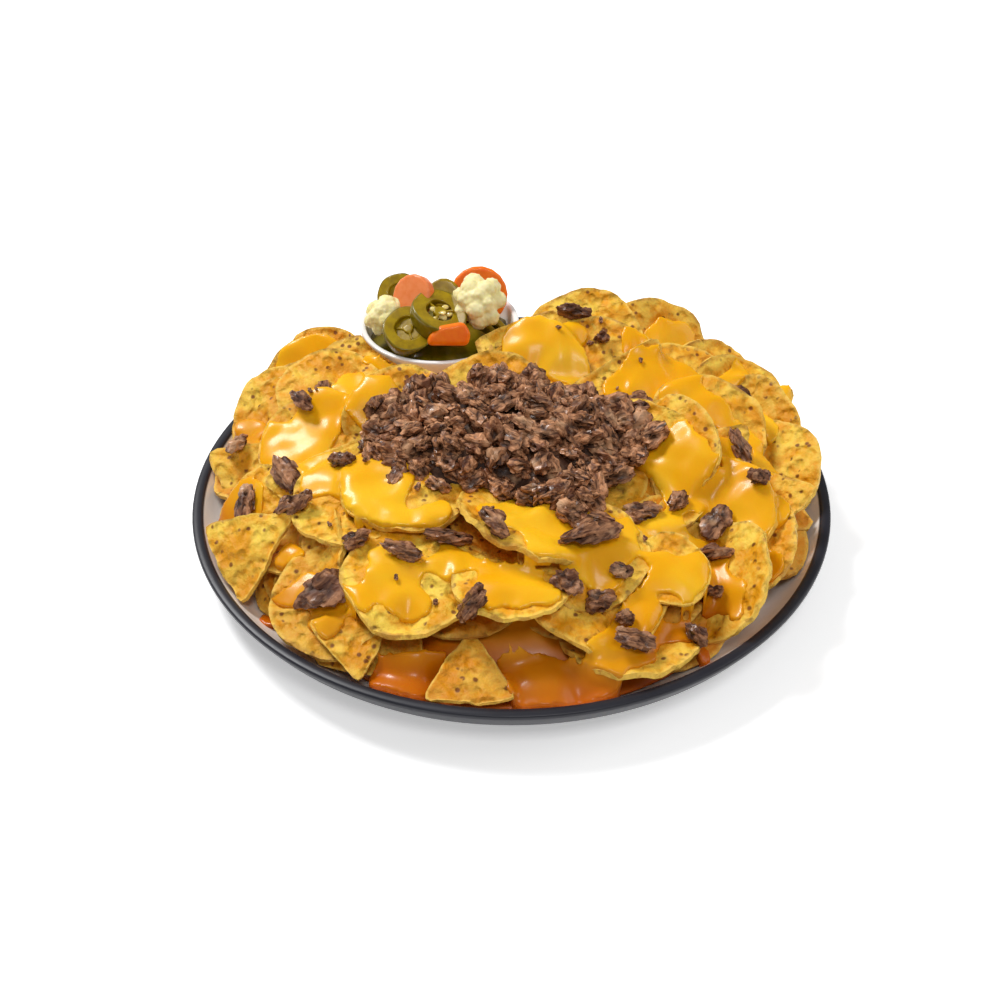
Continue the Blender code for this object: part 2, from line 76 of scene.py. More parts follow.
RIM_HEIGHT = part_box("plate")[1].z
PLATE_FLOOR = 6 * MM
PLATE_FLOOR_RADIUS = 124 * MM
LIP_RADIUS = 145 * MM
WALL_POWER = 2.4
# Radius from which the plate's wall rises steeply
WALL_STARTS = 133 * MM
# The cream inside begins between these heights, which climb with this slope from WALL_STARTS outwards
INSIDE_ABOVE = (4.3 * MM, 4.7 * MM)
INSIDE_SLOPE = 0.9
# The plate's outside from its middle outwards and its lip from there inwards: radius and height in mm
PLATE_OUTSIDE = (
    (0, 2), (108, 2), (111, 0), (117, 0), (120, 2.2), (133, 3.4), (140, 6.2), (144.75, 11), (148, 16.5),
    (149.9, 20),
)
PLATE_LIP = ((149.7, 21.6), (147.6, 22), (145.6, 21.6))

BOWL_LOW, BOWL_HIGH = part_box("dip_bowl")
BOWL_MIDDLE = (BOWL_LOW + BOWL_HIGH) / 2
BOWL_RADIUS = (BOWL_HIGH.x - BOWL_LOW.x) / 2
BOWL_FOOT_RADIUS = 28 * MM
BOWL_WALL = 3 * MM

HEAP_RADIUS = 139 * MM
HEAP_TOP = 57 * MM

# Where the heap leaves the plate bare: depth in mm, bearing and width in degrees
BAYS = ((15, -134, 22), (16, -44, 20))
# Height of the heap's edge in mm and the power of its slope: at the front, and what the back has more
EDGE_HEIGHTS = (14, 14)
SLOPE_POWERS = (2.4, 1.6)

# The core under the chips: radius, how deep it lies under the heap's even surface, and the bearing and width
# in degrees of its front, with the share by which it reaches further there and the mm by which it is higher
CORE_RADIUS = 128 * MM
CORE_DEPTH = 20
CORE_FRONT = (-88, 34)
CORE_FRONT_REACH = 0.085
CORE_FRONT_RISE = 8
# The core slopes down to this over the plate, across so much at its edge and round the small bowl
CORE_OVER_PLATE = 2.2 * MM
CORE_EDGE = 16 * MM
CORE_AT_BOWL = 10 * MM

# The beef pile: its middle, its own height over the chips there, the half axes of its oval, and its tongue's
# length, bearing and width in degrees
PILE_AT = Vector((-3 * MM, -12 * MM, 0))
PILE_RISE = 12 * MM
PILE_WIDTH = 69 * MM
PILE_DEPTH = 44 * MM
PILE_TONGUE = 22 * MM
TONGUE_AT = (-58, 14)

CHIP_RADIUS = 28 * MM
CHIP_THICKNESS = 2.1 * MM
# Points round a chip's outline, and the widths of the rings of faces inside it as shares of its radius
CHIP_POINTS = 30
CHIP_RINGS = (0.04, 0.1, 0.16, 0.18, 0.18, 0.16)
# Models of each shape of chip, and how they are bent: degrees, axis, and degrees of a second bend across it
CHIP_MODELS = 8
BENDS = ((34, "X", 10), (22, "Y", -16), (48, "X", 0), (16, "X", 24))

# Courses of chips: how many, first and last bearing, distance from the middle and lift above the heap's
# even surface in mm, tilt from lying flat, first and last bearing that their upper faces lean towards
COURSES = (
    (5, 150, 218, 118, 0, 40, -110, -150),  # left edge
    (4, 160, 225, 90, 2, 25, -85, -115),  # left slope
    (5, 12, -42, 118, 0, 45, -135, -165),  # right edge
    (3, 25, -15, 90, 2, 30, -75, -95),  # right slope
    (3, 70, 30, 66, 2, 35, -95, -75),  # second row at the back
)

# Chips that stand out: shape, x, y, lift and size in mm, tilt, the bearing that the upper face leans towards,
# the turn about its own axis in degrees, and which bend it has
SINGLE_CHIPS = (
    # standing along the back
    ("round", 38, 84, 4, 60, 45, -95, 0, 0),
    ("round", 75, 90, 4, 56, 50, -80, 0, 2),
    ("round", 110, 65, 4, 56, 50, -70, 0, 0),
    ("round", 110, 35, 4, 54, 40, -75, 20, 1),
    ("corner", 125, 30, 6, 52, 40, -105, 20, 1),
    ("round", -100, 75, 2, 56, 50, -100, 0, 2),
    ("round", -75, 45, 0, 56, 35, -90, 0, 3),
    ("round", 8, 46, 3, 62, 40, -95, 0, 0),
    # round the pile of beef
    ("round", -10, 15, 4, 60, 40, -90, 0, 0),
    ("round", -50, 5, 5, 56, 40, -80, 0, 3),
    ("round", 70, -15, 5, 56, 45, -150, 0, 2),
    ("corner", 60, -5, 6, 40, 40, -120, 0, 1),
    ("round", 90, -45, 3, 56, 40, -140, 0, 3),
    ("round", 8, -62, 2, 66, 22, 40, 0, 1),
    ("round", -45, -45, 3, 58, 5, -90, 0, 0),
    ("round", -70, -50, 3, 52, 10, -110, 0, 3),
    # down the front
    ("round", 30, -80, 2, 56, 15, -70, 0, 2),
    ("round", 65, -85, 4, 36, 15, -90, 0, 1),
    ("round", 35, -95, -2, 60, 10, -60, 0, 2),
    ("round", 50, -110, -5, 58, 15, 90, 0, 0),
    ("round", 0, -95, 2, 50, 5, 60, 0, 0),
    ("round", -40, -90, 2, 60, 10, -90, 0, 2),
    ("corner", -54, -108, 0, 50, 32, -105, 180, 3),
    ("corner", -65, -115, -3, 34, 20, -80, 0, 2),
    ("round", -80, -100, -2, 54, 20, -115, 0, 1),
    # bare ones on the left
    ("round", -115, 35, 2, 58, 35, -110, 0, 1),
    ("corner", -116, -62, -4, 44, 38, -125, 150, 1),
    ("corner", -17, -134, 0, 36, 12, -90, 180, 1),
)

# The last of them are left without sauce
BARE_CHIPS = 3

# Lower chips that fill the heap: ring radius in mm, chips in the ring, sink below the even surface in mm,
# and how flat they lie compared with the slope
FILLER_RINGS = (
    (0, 2, 8, 1.0), (30, 6, 8, 0.8), (52, 10, 9, 0.7), (72, 13, 9, 0.7), (92, 17, 9, 0.65),
    (108, 17, 9, 0.7), (117, 16, 11, 0.8), (119, 14, 15, 0.5),
)

# Fillers keep out of the front, where the distance in mm from the middle is more than the second number and
# the bearing is off the front by less than the first, in radians, and keep this far from the small bowl
FRONT_OPEN = ((0.5, 113), (0.36, 98))
BOWL_ROOM = 17 * MM

# Shares of the fillers that are triangles, and of the upper chips that got sauce of their own
CORNER_SHARE = 0.12
SAUCED_SHARE = 0.75

# Painted shade: what the lower chips have of the darker colour more than the upper ones, as the shade that
# falls between the chips
LOW_TONE = 0.9

# No chip reaches further from the middle than this, and each clears the plate by so much
CHIP_REACH = 144 * MM
CHIP_CLEARANCE = 1.6 * MM
# Chips are pressed inside this distance from the middle, and off the plate and the small bowl by these gaps
EDGE_LIMIT = 148.5 * MM
PLATE_GAP = 0.9 * MM
BOWL_GAP = 1.2 * MM

# A tilted chip's middle lies under the heap's even surface by this share of what its tilt raises it
CHIP_BURIED = 0.55

# Cheese sauce: x, y in mm where it was poured, how far it spread and how thick it lies in mm
POURS = (
    # on the left
    (-135, 22, 11, 1.8), (-120, 8, 12, 2), (-110, 0, 9, 1.8), (-88, 15, 15, 2.4), (-78, 38, 13, 2),
    (-92, -8, 9, 1.8), (-45, 35, 11, 1.8), (-90, -28, 9, 1.6), (-128, -38, 9, 1.8),
    (-70, -45, 12, 2.2), (-88, -68, 10, 2.4), (-60, -60, 10, 1.8), (-105, -88, 9, 1.8),
    # front left
    (-70, -82, 17, 3), (-50, -88, 13, 2.6), (-80, -85, 9, 2.2), (-30, -66, 13, 2.4), (-25, -85, 12, 2.4),
    (-8, -70, 11, 2.2), (-45, -100, 11, 2.2), (-5, -95, 16, 3), (-65, -104, 9, 2), (-80, -108, 10, 2),
    # at the front right
    (55, -108, 14, 2.6), (68, -106, 10, 2.2),
    # below the tongue of the beef pile
    (10, -62, 16, 2.8), (28, -70, 13, 2.6), (42, -76, 10, 2.2),
    # on the right
    (50, -98, 9, 2.2), (62, -85, 12, 3.6), (52, -62, 8, 2), (65, -60, 12, 2.4), (75, -66, 13, 2.6),
    (88, -76, 14, 2.8), (75, -85, 9, 2), (85, -48, 10, 2), (90, -35, 10, 2), (105, -56, 12, 2.4),
    (118, -50, 9, 2.2), (118, -32, 11, 2.2), (113, -72, 10, 2.4), (95, -90, 9, 1.8), (78, -112, 9, 2),
    (115, -15, 10, 2), (68, -12, 10, 1.8),
    # at the back
    (28, 92, 13, 2), (15, 85, 9, 1.6), (62, 72, 11, 1.8), (80, 92, 12, 2), (62, 55, 10, 1.8),
    (78, 45, 13, 2.2), (82, 28, 12, 2.2), (102, 65, 11, 1.8), (110, 48, 12, 2), (92, 20, 12, 2.2),
    (106, 8, 10, 2), (115, 0, 9, 1.8), (-25, 40, 10, 1.6), (5, 40, 9, 1.6), (50, 35, 9, 1.8),
)

# Pools of sauce on the plate: x, y, radius and level in mm
POOLS = (
    (-44, -128, 16, 21), (-40, -112, 17, 30), (-1, -112, 12, 29), (12, -127, 18, 23), (36, -114, 26, 25),
    (42, -125, 18, 21),
)

# The sauce's grid of heights. Sauce stays within SAUCE_REACH of the middle, and tears over steps in its own
# surface that are higher than SAUCE_DROP.
GRID_STEP = 1 * MM
GRID_REACH = 152 * MM
SAUCE_REACH = 143 * MM
SAUCE_DROP = 3.6 * MM
SAUCE_VOXEL = 0.85 * MM
SAUCE_SHARE_KEPT = 0.6

# Every pour spreads and thickens by these shares
SPREAD_SHARE = 1.15
THICK_SHARE = 1.1

# How sauce runs on a slope, as rise over run: the steepest climb, what climbing costs and falling gains, and
# the pause at a drop steeper than CLIFF_SLOPE
CLIMB_LIMIT = 1.6
CLIMB_TOLL = 2.2
FALL_GAIN = 0.3
CLIFF_SLOPE = 2
CLIFF_TOLL = 14 * MM
EIGHT_WAYS = ((1, 0), (-1, 0), (0, 1), (0, -1), (1, 1), (1, -1), (-1, 1), (-1, -1))
AROUND = [(i, j) for i in (-1, 0, 1) for j in (-1, 0, 1)]

# A film thinner than this isn't seen, and the edge of what is covered is evened out so many times
FILM_LEAST = 0.2 * MM
EDGE_ROUNDS = 10
# The smoothed top lies between these shares of the film over the ground, each with so much more
TOP_LEAST = (0.4, 0.3 * MM)
TOP_MOST = (1.8, 1 * MM)

# Single pieces of beef, in the order of their nodes: length and width in mm, turn in degrees
BEEF_TURNS = (
    # on the left
    (14, 9, 100), (18, 9, -50), (12, 10, 30), (22, 14, -60), (18, 14, 80), (22, 9, 5), (13, 9, -30),
    # down the front
    (26, 20, 15), (12, 8, 20), (18, 9, -15), (20, 9, 5), (16, 12, -40), (20, 10, 20), (14, 13, 0),
    (12, 11, -10), (8, 8, 0), (10, 8, 0), (28, 12, 25), (18, 10, 5), (12, 9, -30),
    # on the right
    (16, 12, 10), (12, 10, 50), (18, 14, 50), (18, 7, 0), (10, 8, -10), (7, 6, 0), (20, 12, -20),
    (18, 14, -50), (22, 18, -20), (20, 12, 0),
    # at the back
    (18, 9, 10), (8, 7, 0), (10, 7, 0),
)

# Height of a single piece of beef, the shares that its length and width in BEEF_TURNS are scaled by
BEEF_HEIGHT = 8.5 * MM
BEEF_SHARES = (1.08, 1.12)
# Faces of a model of beef when new, and of what is kept of it for single pieces and for the pile
BEEF_FACES = 1280
SINGLE_FACES = 900
PILE_FACES = 440
# Shortest and longest piece of the pile in mm
PILE_LENGTHS = (10, 17.5)
# Crumbs: how many, how far from the middle and how long they are in mm, least and most
CRUMBS = 26
CRUMBS_AT = (50, 118)
CRUMB_LENGTHS = (2.2, 4.5)

# Layers of the pile, from the inner one outwards: name, spacing in mm, tries, share of the pile's rise
PILE_LAYERS = (("inner", 8.5, 900, 0.15), ("middle", 8.5, 900, 0.55), ("outer", 8.0, 1100, 0.95))

# Tilt from lying flat and the bearing that the upper face leans towards, in degrees, of each piece of pickle
PICKLE_LEANS = {
    "jalapeno_ring_front": (24, -105), "carrot_wedge": (60, -80), "jalapeno_ring_middle": (20, -75),
    "cauliflower_right": (35, -95), "carrot_slice_left": (55, -125), "cauliflower_left": (30, -120),
    "jalapeno_strip_right": (30, -60), "carrot_slice_right": (60, -85), "jalapeno_slice_back": (50, -90),
    "jalapeno_ring_back": (50, -110), "jalapeno_strip_front": (20, -90),
}

# Pickled flesh: two skin colours, two inner colours, scale of the clouds, coat and least roughness
FLESHES = {
    "jalapeno": ((110, 98, 2), (130, 112, 4), (166, 138, 8), (142, 114, 2), 190, 0.2, 0.22),
    "carrot": ((248, 114, 0), (252, 130, 2), (255, 128, 2), (250, 114, 0), 240, 0.1, 0.35),
    "pale_carrot": ((238, 118, 40), (240, 124, 52), (240, 142, 84), (234, 128, 66), 240, 0.1, 0.3),
    "cauliflower": ((206, 202, 116), (222, 216, 140), (248, 236, 182), (234, 220, 150), 170, 0, 0.45),
    "seeds": ((225, 196, 110), (236, 212, 140), (225, 196, 110), (236, 212, 140), 90, 0.3, 0.16),
}
# The slots of those that aren't called after their own flesh
FLESH_SLOTS = {"pale_carrot": "carrot", "seeds": "jalapeno"}

# A pepper ring's profile, across the wall and up
RING_PROFILE = (
    (-0.94, -1), (-0.5, -1), (0.5, -1), (0.9, -1), (1, -0.85), (1, 0.85), (0.9, 1), (0.5, 1), (-0.5, 1),
    (-0.94, 1), (-1, 0.85), (-1, -0.85), (-0.94, -1),
)

# Lamps: name, place, size and energy
LAMPS = (
    ("key", (-0.7, 0.6, 1.2), 0.42, 17.5),
    ("front", (0.15, -0.75, 1.35), 0.4, 5.5),
    ("right", (1.1, 0.1, 0.8), 0.8, 4),
)
WORLD_LIGHT = 0.24

# Painted shade: food is darker up to the first height, where it lies in shade, and not at all from the second
SOAKED = (16 * MM, 42 * MM)


def deselect():
    for obj in bpy.data.objects:
        obj.select_set(False)


def named(obj, name):
    obj.name = obj.data.name = name
    return obj


def polar(away, bearing):
    return away * math.cos(bearing), away * math.sin(bearing)


def turned(angle, axis="Z"):
    return Matrix.Rotation(angle, 4, axis)


def from_bowl(x, y):
    """Distance from the small bowl's middle."""
    return math.hypot(x - BOWL_MIDDLE.x, y - BOWL_MIDDLE.y)


def colour(red, green, blue):
    """A colour from 0 to 255 as the shader's linear values."""
    shares = (channel / 255 for channel in (red, green, blue))
    return tuple(s / 12.92 if s <= 0.04045 else ((s + 0.055) / 1.055) ** 2.4 for s in shares) + (1.0,)


class Wire:
    """A socket of a node tree. Sums on wires and numbers add the Math nodes."""

    def __init__(self, tree, socket):
        self.tree, self.socket = tree, socket

    def sum(self, operation, *values):
        node = self.tree.nodes.new("ShaderNodeMath")
        node.operation = operation
        for entry, value in zip(node.inputs, values):
            if isinstance(value, Wire):
                self.tree.links.new(value.socket, entry)
            else:
                entry.default_value = value
        return Wire(self.tree, node.outputs[0])

    def __add__(self, other):
        return self.sum("ADD", self, other)

    __radd__ = __add__

    def __mul__(self, other):
        return self.sum("MULTIPLY", self, other)

    def __sub__(self, other):
        return self.sum("SUBTRACT", self, other)

    def __rsub__(self, other):
        return self.sum("SUBTRACT", other, self)

    def __pow__(self, other):
        return self.sum("POWER", self, other)

    def between(self, low, high):
        """0 below low, 1 above high, with a soft step between them."""
        node = self.tree.nodes.new("ShaderNodeMapRange")
        node.interpolation_type = "SMOOTHSTEP"
        self.tree.links.new(self.socket, node.inputs["Value"])
        node.inputs["From Min"].default_value = low
        node.inputs["From Max"].default_value = high
        return Wire(self.tree, node.outputs["Result"])


class Finish:
    """A material that is written as expressions on its nodes."""

    def __init__(self, name, **constants):
        self.material = bpy.data.materials.new(name)
        self.material.use_nodes = True
        self.tree = self.material.node_tree
        self.shader = self.tree.nodes["Principled BSDF"]
        for key, value in constants.items():
            self.entry(key).default_value = value
        self.place = self.node("ShaderNodeTexCoord", output="Object")

    def entry(self, key):
        """The shader's socket for a keyword."""
        return self.shader.inputs[key.replace("_", " ").title().replace("Ior", "IOR")]

    def node(self, kind, settings=None, inputs=None, output=0):
        node = self.tree.nodes.new(kind)
        for key, value in (settings or {}).items():
            setattr(node, key, value)
        for key, value in (inputs or {}).items():
            if isinstance(value, Wire):
                self.tree.links.new(value.socket, node.inputs[key])
            else:
                node.inputs[key].default_value = value
        return Wire(self.tree, node.outputs[output])

    def noise(self, scale, detail, rough=0.5, vector=None, distortion=0):
        inputs = {"Vector": vector or self.place, "Scale": scale, "Detail": detail, "Roughness": rough}
        return self.node("ShaderNodeTexNoise", {}, inputs | {"Distortion": distortion})

    def cells(self, scale, feature="F1"):
        inputs = {"Vector": self.place, "Scale": scale}
        return self.node("ShaderNodeTexVoronoi", {"feature": feature}, inputs, "Distance")

    def attribute(self, name, output="Fac"):
        return self.node("ShaderNodeAttribute", {"attribute_name": name}, {}, output)

    def mix(self, share, first, second):
        inputs = {0: share, 6: first, 7: second}
        return self.node("ShaderNodeMix", {"data_type": "RGBA"}, inputs, 2)

    def stretched(self, vector, scale):
        return self.node("ShaderNodeVectorMath", {"operation": "MULTIPLY"}, {0: vector, 1: scale})

    def axis(self, number):
        """The place along X, Y or Z, as number 0, 1 or 2."""
        return self.node("ShaderNodeSeparateXYZ", {}, {0: self.place}, number)

    def low_down(self):
        """Painted shade: 1 near the plate, where the food lies in shade, and 0 from half-way up the heap."""
        return 1 - self.axis(2).between(*SOAKED)

    def bump(self, height, strength, distance, below=None):
        inputs = {"Height": height, "Strength": strength, "Distance": distance}
        if below:
            inputs["Normal"] = below
        return self.node("ShaderNodeBump", {}, inputs)

    def feed(self, **wires):
        for key, wire in wires.items():
            self.tree.links.new(wire.socket, self.entry(key))
        return self.material


def chip_finish():
    """Fried corn: pale and golden patches, blisters, brown specks and a toasted edge, with painted highlights
    in the grain and along the rim, and painted shade on the lower chips and near the plate.
    """
    finish = Finish(
        "corn_chip", subsurface_weight=0.08, subsurface_scale=0.0015, subsurface_radius=(1.0, 0.5, 0.15),
        specular_ior_level=0.3,
    )
    patches = finish.noise(75, 4, 0.6)
    edge = finish.attribute("edge")
    grain = finish.noise(520, 3, 0.65)
    body = finish.mix(patches.between(0.4, 0.62), colour(236, 164, 16), colour(255, 217, 82))
    # Tone at random for each chip, and painted shade: the lower chips get more of the darker colour
    body = finish.mix(finish.attribute("tone") * 0.36, body, colour(206, 116, 2))
    # Painted shade near the plate
    body = finish.mix(finish.low_down() * 0.3, body, colour(190, 100, 2))
    # Painted highlights: small pale spots in the grain
    body = finish.mix(grain.between(0.5, 0.85) * 0.4, body, colour(240, 190, 66))
    speck_size = finish.noise(150, 2)
    specks = 1 - finish.cells(190).between(0.12, 0.28)
    few = (speck_size + edge * 0.12).between(0.48, 0.58)
    body = finish.mix(specks * few * 0.9, body, colour(116, 58, 16))
    rim = (edge + grain * 0.1).between(0.96, 1.04)
    # Painted highlight: a pale line along each chip's rim
    body = finish.mix(rim * 0.6, body, colour(248, 210, 96))
    body = finish.mix(rim * patches.between(0.52, 0.6) * 0.6, body, colour(170, 98, 28))
    blisters = finish.cells(210, "SMOOTH_F1").between(0.1, 0.6)
    rough = finish.bump(grain, 0.8, 0.0009)
    rough = finish.bump(blisters, 0.8, 0.0018, rough)
    return finish.feed(base_color=body, roughness=patches * 0.25 + 0.42, normal=rough)


def sauce_finish():
    """Smooth warm cheese sauce with a wet shine, and painted shade that makes it deeper orange near the
    plate.
    """
    finish = Finish(
        "cheese_sauce", subsurface_weight=0.2, subsurface_scale=0.003, subsurface_radius=(1.0, 0.42, 0.06),
        coat_weight=0.14, coat_roughness=0.12, specular_ior_level=0.2,
    )
    drift = finish.noise(28, 2)
    body = finish.mix(drift.between(0.35, 0.7), colour(242, 170, 6), colour(251, 192, 32))
    # Painted shade: deeper orange near the plate
    body = finish.mix(finish.low_down() * 0.95, body, colour(190, 88, 0))
    skin = finish.bump(finish.noise(160, 2), 0.1, 0.0006)
    return finish.feed(base_color=body, roughness=drift * 0.1 + 0.24, normal=skin)


def beef_finish():
    """Browned chopped beef: dark crust, paler fibres, painted shade in the hollows, painted highlights in
    pale patches, and a moist shine in places.
    """
    finish = Finish("chopped_beef", specular_ior_level=0.3, coat_roughness=0.2)
    grain = finish.attribute("grain", "Vector")
    tone = finish.attribute("tone")
    fibres = finish.noise(1.0, 4, 0.6, finish.stretched(grain, (1.6, 4.0, 4.0)), 0.8)
    crust = finish.noise(210, 4, 0.6)
    body = finish.mix(fibres.between(0.34, 0.7), colour(60, 26, 8), colour(238, 172, 124))
    body = finish.mix(crust.between(0.45, 0.72), body, colour(112, 62, 34))
    # Tone at random, darker on the single pieces, and painted shade on the pile's core
    body = finish.mix(tone * 0.3, body, colour(74, 34, 14))
    # Painted shade in the hollows, which lie nearest the middle
    body = finish.mix((1 - finish.attribute("rise").between(0.1, 0.65)) * 0.8, body, colour(28, 9, 1))
    # Painted highlights: pale patches at random
    body = finish.mix(finish.noise(95, 2).between(0.56, 0.74) * 0.6, body, colour(236, 186, 142))
    relief = finish.bump(fibres, 0.6, 0.0011)
    relief = finish.bump(crust, 0.45, 0.0009, relief)
    wet = finish.noise(160, 2).between(0.45, 0.7)
    return finish.feed(base_color=body, roughness=0.52 - wet * 0.3, coat_weight=wet * 0.35, normal=relief)


def plate_finish():
    """Dark glaze outside and on the lip, cream glaze inside."""
    finish = Finish("glazed_plate", specular_ior_level=0.4)
    x, y, z = (finish.axis(number) for number in range(3))
    away = (x * x + y * y) ** 0.5
    above_wall = z - away.sum("MAXIMUM", away - WALL_STARTS, 0) * INSIDE_SLOPE
    inside = (1 - away.between(LIP_RADIUS - 0.7 * MM, LIP_RADIUS)) * above_wall.between(*INSIDE_ABOVE)
    cloud = finish.noise(60, 3)
    cream = finish.mix(cloud, colour(238, 230, 222), colour(248, 243, 238))
    dark = finish.mix(cloud, colour(24, 24, 32), colour(36, 36, 46))
    return finish.feed(base_color=finish.mix(inside, dark, cream), roughness=0.34 + cloud * 0.12)


def bowl_finish():
    """White glaze."""
    finish = Finish("white_glaze", roughness=0.15, coat_weight=0.3)
    cloud = finish.noise(40, 2)
    return finish.feed(base_color=finish.mix(cloud, colour(243, 241, 238), colour(250, 249, 247)))


def finished(obj, body_finish, *nodes, slot):
    """Give a piece its material and its place in the frame, and hide the nodes that it stands for."""
    obj.data.materials.clear()
    obj.data.materials.append(body_finish)
    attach(obj, "root")
    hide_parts(*nodes)
    return obj


def store(mesh, name, values, kind="FLOAT"):
    """Keep values of a mesh's points for its finish."""
    stored = mesh.attributes.new(name, kind, "POINT")
    stored.data.foreach_set("vector" if kind == "FLOAT_VECTOR" else "value", values)


def apply(obj, kind, **settings):
    """Apply a modifier to the active object."""
    modifier = obj.modifiers.new(kind.lower(), kind)
    for key, value in settings.items():
        setattr(modifier, key, value)
    bpy.ops.object.modifier_apply(modifier=modifier.name)


def displace(obj, kind, size, strength, depth=2):
    """Push a surface in and out by a texture of its place."""
    texture = bpy.data.textures.new("relief", kind)
    texture.noise_scale = size
    if kind == "CLOUDS":
        texture.noise_depth = depth
    apply(obj, "DISPLACE", texture=texture, strength=strength, mid_level=0.5, texture_coords="GLOBAL")


def bend(obj, degrees, axis):
    apply(obj, "SIMPLE_DEFORM", deform_method="BEND", angle=math.radians(degrees), deform_axis=axis)


def melt(obj, voxel, factor, iterations):
    """Grow the parts of a piece into one skin and smooth it."""
    apply(obj, "REMESH", mode="VOXEL", voxel_size=voxel)
    apply(obj, "SMOOTH", factor=factor, iterations=iterations)


def added(primitive, **settings):
    """A new primitive, which is the active object."""
    deselect()
    primitive(**settings)
    return bpy.context.object


def disc(vertices, radius, insets, cuts=0):
    """A round face with a ring of faces for each inset, poked in the middle."""
    obj = added(bpy.ops.mesh.primitive_circle_add, vertices=vertices, radius=radius, fill_type="NGON")
    bpy.ops.object.mode_set(mode="EDIT")
    bpy.ops.mesh.select_all(action="SELECT")
    for thickness in insets:
        bpy.ops.mesh.inset(thickness=thickness)
    bpy.ops.mesh.poke()
    if cuts:
        bpy.ops.mesh.select_all(action="SELECT")
        bpy.ops.mesh.subdivide(number_cuts=cuts)
    bpy.ops.object.mode_set(mode="OBJECT")
    return obj


def blank(points, edges, faces):
    """A new active object with a mesh of its own."""
    obj = added(bpy.ops.mesh.primitive_plane_add)
    obj.data.clear_geometry()
    obj.data.from_pydata(points, edges, faces)
    return obj


def spun(name, profile, steps, middle=(0, 0)):
    """A closed profile of (radius, height) points spun about a vertical axis."""
    points = [(radius, 0, height) for radius, height in profile]
    obj = named(blank(points, [(k, k + 1) for k in range(len(points) - 1)], []), name)
    bpy.ops.object.mode_set(mode="EDIT")
    bpy.ops.mesh.select_all(action="SELECT")
    bpy.ops.mesh.spin(steps=steps, angle=math.tau, center=(0, 0, 0), axis=(0, 0, 1), use_auto_merge=True)
    bpy.ops.mesh.select_all(action="SELECT")
    bpy.ops.mesh.remove_doubles(threshold=0.00002)
    bpy.ops.mesh.normals_make_consistent(inside=False)
    bpy.ops.object.mode_set(mode="OBJECT")
    bpy.ops.object.shade_smooth()
    obj.data.transform(Matrix.Translation((*middle, 0)))
    return obj


def rounded(points, radius, steps):
    """The points of a profile with each inner corner rounded."""
    out = [points[0]]
    for before, corner, after in zip(points, points[1:], points[2:]):
        here = Vector(corner)
        back, ahead = Vector(before) - here, Vector(after) - here
        reach = min(radius, back.length * 0.45, ahead.length * 0.45)
        first, last = here + back.normalized() * reach, here + ahead.normalized() * reach
        for k in range(steps + 1):
            t = k / steps
            out.append(tuple(first * (1 - t) ** 2 + here * 2 * t * (1 - t) + last * t * t))
    return out + [points[-1]]


def plate_inside(radius):
    """Height of the plate's inner surface at a distance from its middle."""
    rise = np.clip((np.asarray(radius) - PLATE_FLOOR_RADIUS) / (LIP_RADIUS - PLATE_FLOOR_RADIUS), 0, 1)
    return PLATE_FLOOR + (RIM_HEIGHT - 1 * MM - PLATE_FLOOR) * rise**WALL_POWER


def make_plate():
    inside = [(r, float(plate_inside(r * MM)) / MM) for r in np.linspace(144.8, 124, 12)]
    points = [*PLATE_OUTSIDE, *PLATE_LIP, *inside, (0, PLATE_FLOOR / MM)]
    profile = [(r * MM, z * MM) for r, z in points]
    plate = spun("serving_plate", rounded(profile, 1.2 * MM, 3), 144)
    return finished(plate, plate_finish(), "plate", slot="glazed_plate")


def bowl_inside(height):
    """Inner radius of the small bowl at a height above its foot."""
    slope = (BOWL_RADIUS - BOWL_FOOT_RADIUS) / (BOWL_HIGH.z - BOWL_LOW.z)
    return BOWL_FOOT_RADIUS + 3 * MM + slope * height * 0.78 - BOWL_WALL


def make_bowl():
    height = BOWL_HIGH.z - BOWL_LOW.z
    foot, radius = BOWL_FOOT_RADIUS, BOWL_RADIUS
    outer = [
        (0, 1.2 * MM), (foot - 4 * MM, 1.2 * MM), (foot - 3 * MM, 0), (foot, 0), (foot + 3.5 * MM, 5 * MM),
    ]
    outer += [(bowl_inside(height * t) + BOWL_WALL, height * t) for t in (0.3, 0.6, 0.85)]
    lip = [(radius - 0.3 * MM, height - 2.4 * MM), (radius - 0.1 * MM, height), (radius - BOWL_WALL, height)]
    inner = [(bowl_inside(height * t), height * t) for t in (0.9, 0.6, 0.3, 0.16)]
    profile = outer + lip + inner + [(bowl_inside(height * 0.16) - 6 * MM, 4.5 * MM), (0, 4.5 * MM)]
    profile = [(r, z + BOWL_LOW.z) for r, z in rounded(profile, 1.6 * MM, 4)]
    bowl = spun("pickle_bowl", profile, 96, (BOWL_MIDDLE.x, BOWL_MIDDLE.y))
    return finished(bowl, bowl_finish(), "dip_bowl", slot="white_glaze")


def smooth_step(t):
    t = min(1.0, max(0.0, t))
    return t * t * (3 - 2 * t)


def hump(angle, at_degrees, width_degrees):
    """1 at a bearing and fading out on both sides of it."""
    away = (angle - math.radians(at_degrees) + math.pi) % math.tau - math.pi
    return math.exp(-((away / math.radians(width_degrees)) ** 2))


def footprint(bearing):
    """How far the heap reaches from the plate's middle in a direction."""
    reach = HEAP_RADIUS
    for depth, at_degrees, width_degrees in BAYS:
        reach -= depth * MM * hump(bearing, at_degrees, width_degrees)
    return reach


def heap_even(x, y):
    """Height of the heap with its chips evened out."""
    bearing, away = math.atan2(y, x), math.hypot(x, y)
    edge = (EDGE_HEIGHTS[0] + EDGE_HEIGHTS[1] * smooth_step((math.sin(bearing) + 0.8) / 1.5)) * MM
    power = SLOPE_POWERS[0] + SLOPE_POWERS[1] * smooth_step((math.sin(bearing) + 1) / 2)
    share = min(1.0, away / HEAP_RADIUS)
    return edge + (HEAP_TOP - edge) * (1 - share**power) ** 0.8


def corner_reach(angle):
    """How far a triangular chip with rounded corners reaches, as a share of a round one."""
    from_side = (angle % (math.tau / 3)) - math.pi / 3
    return 0.66 / max(0.55, math.cos(from_side)) ** 0.9


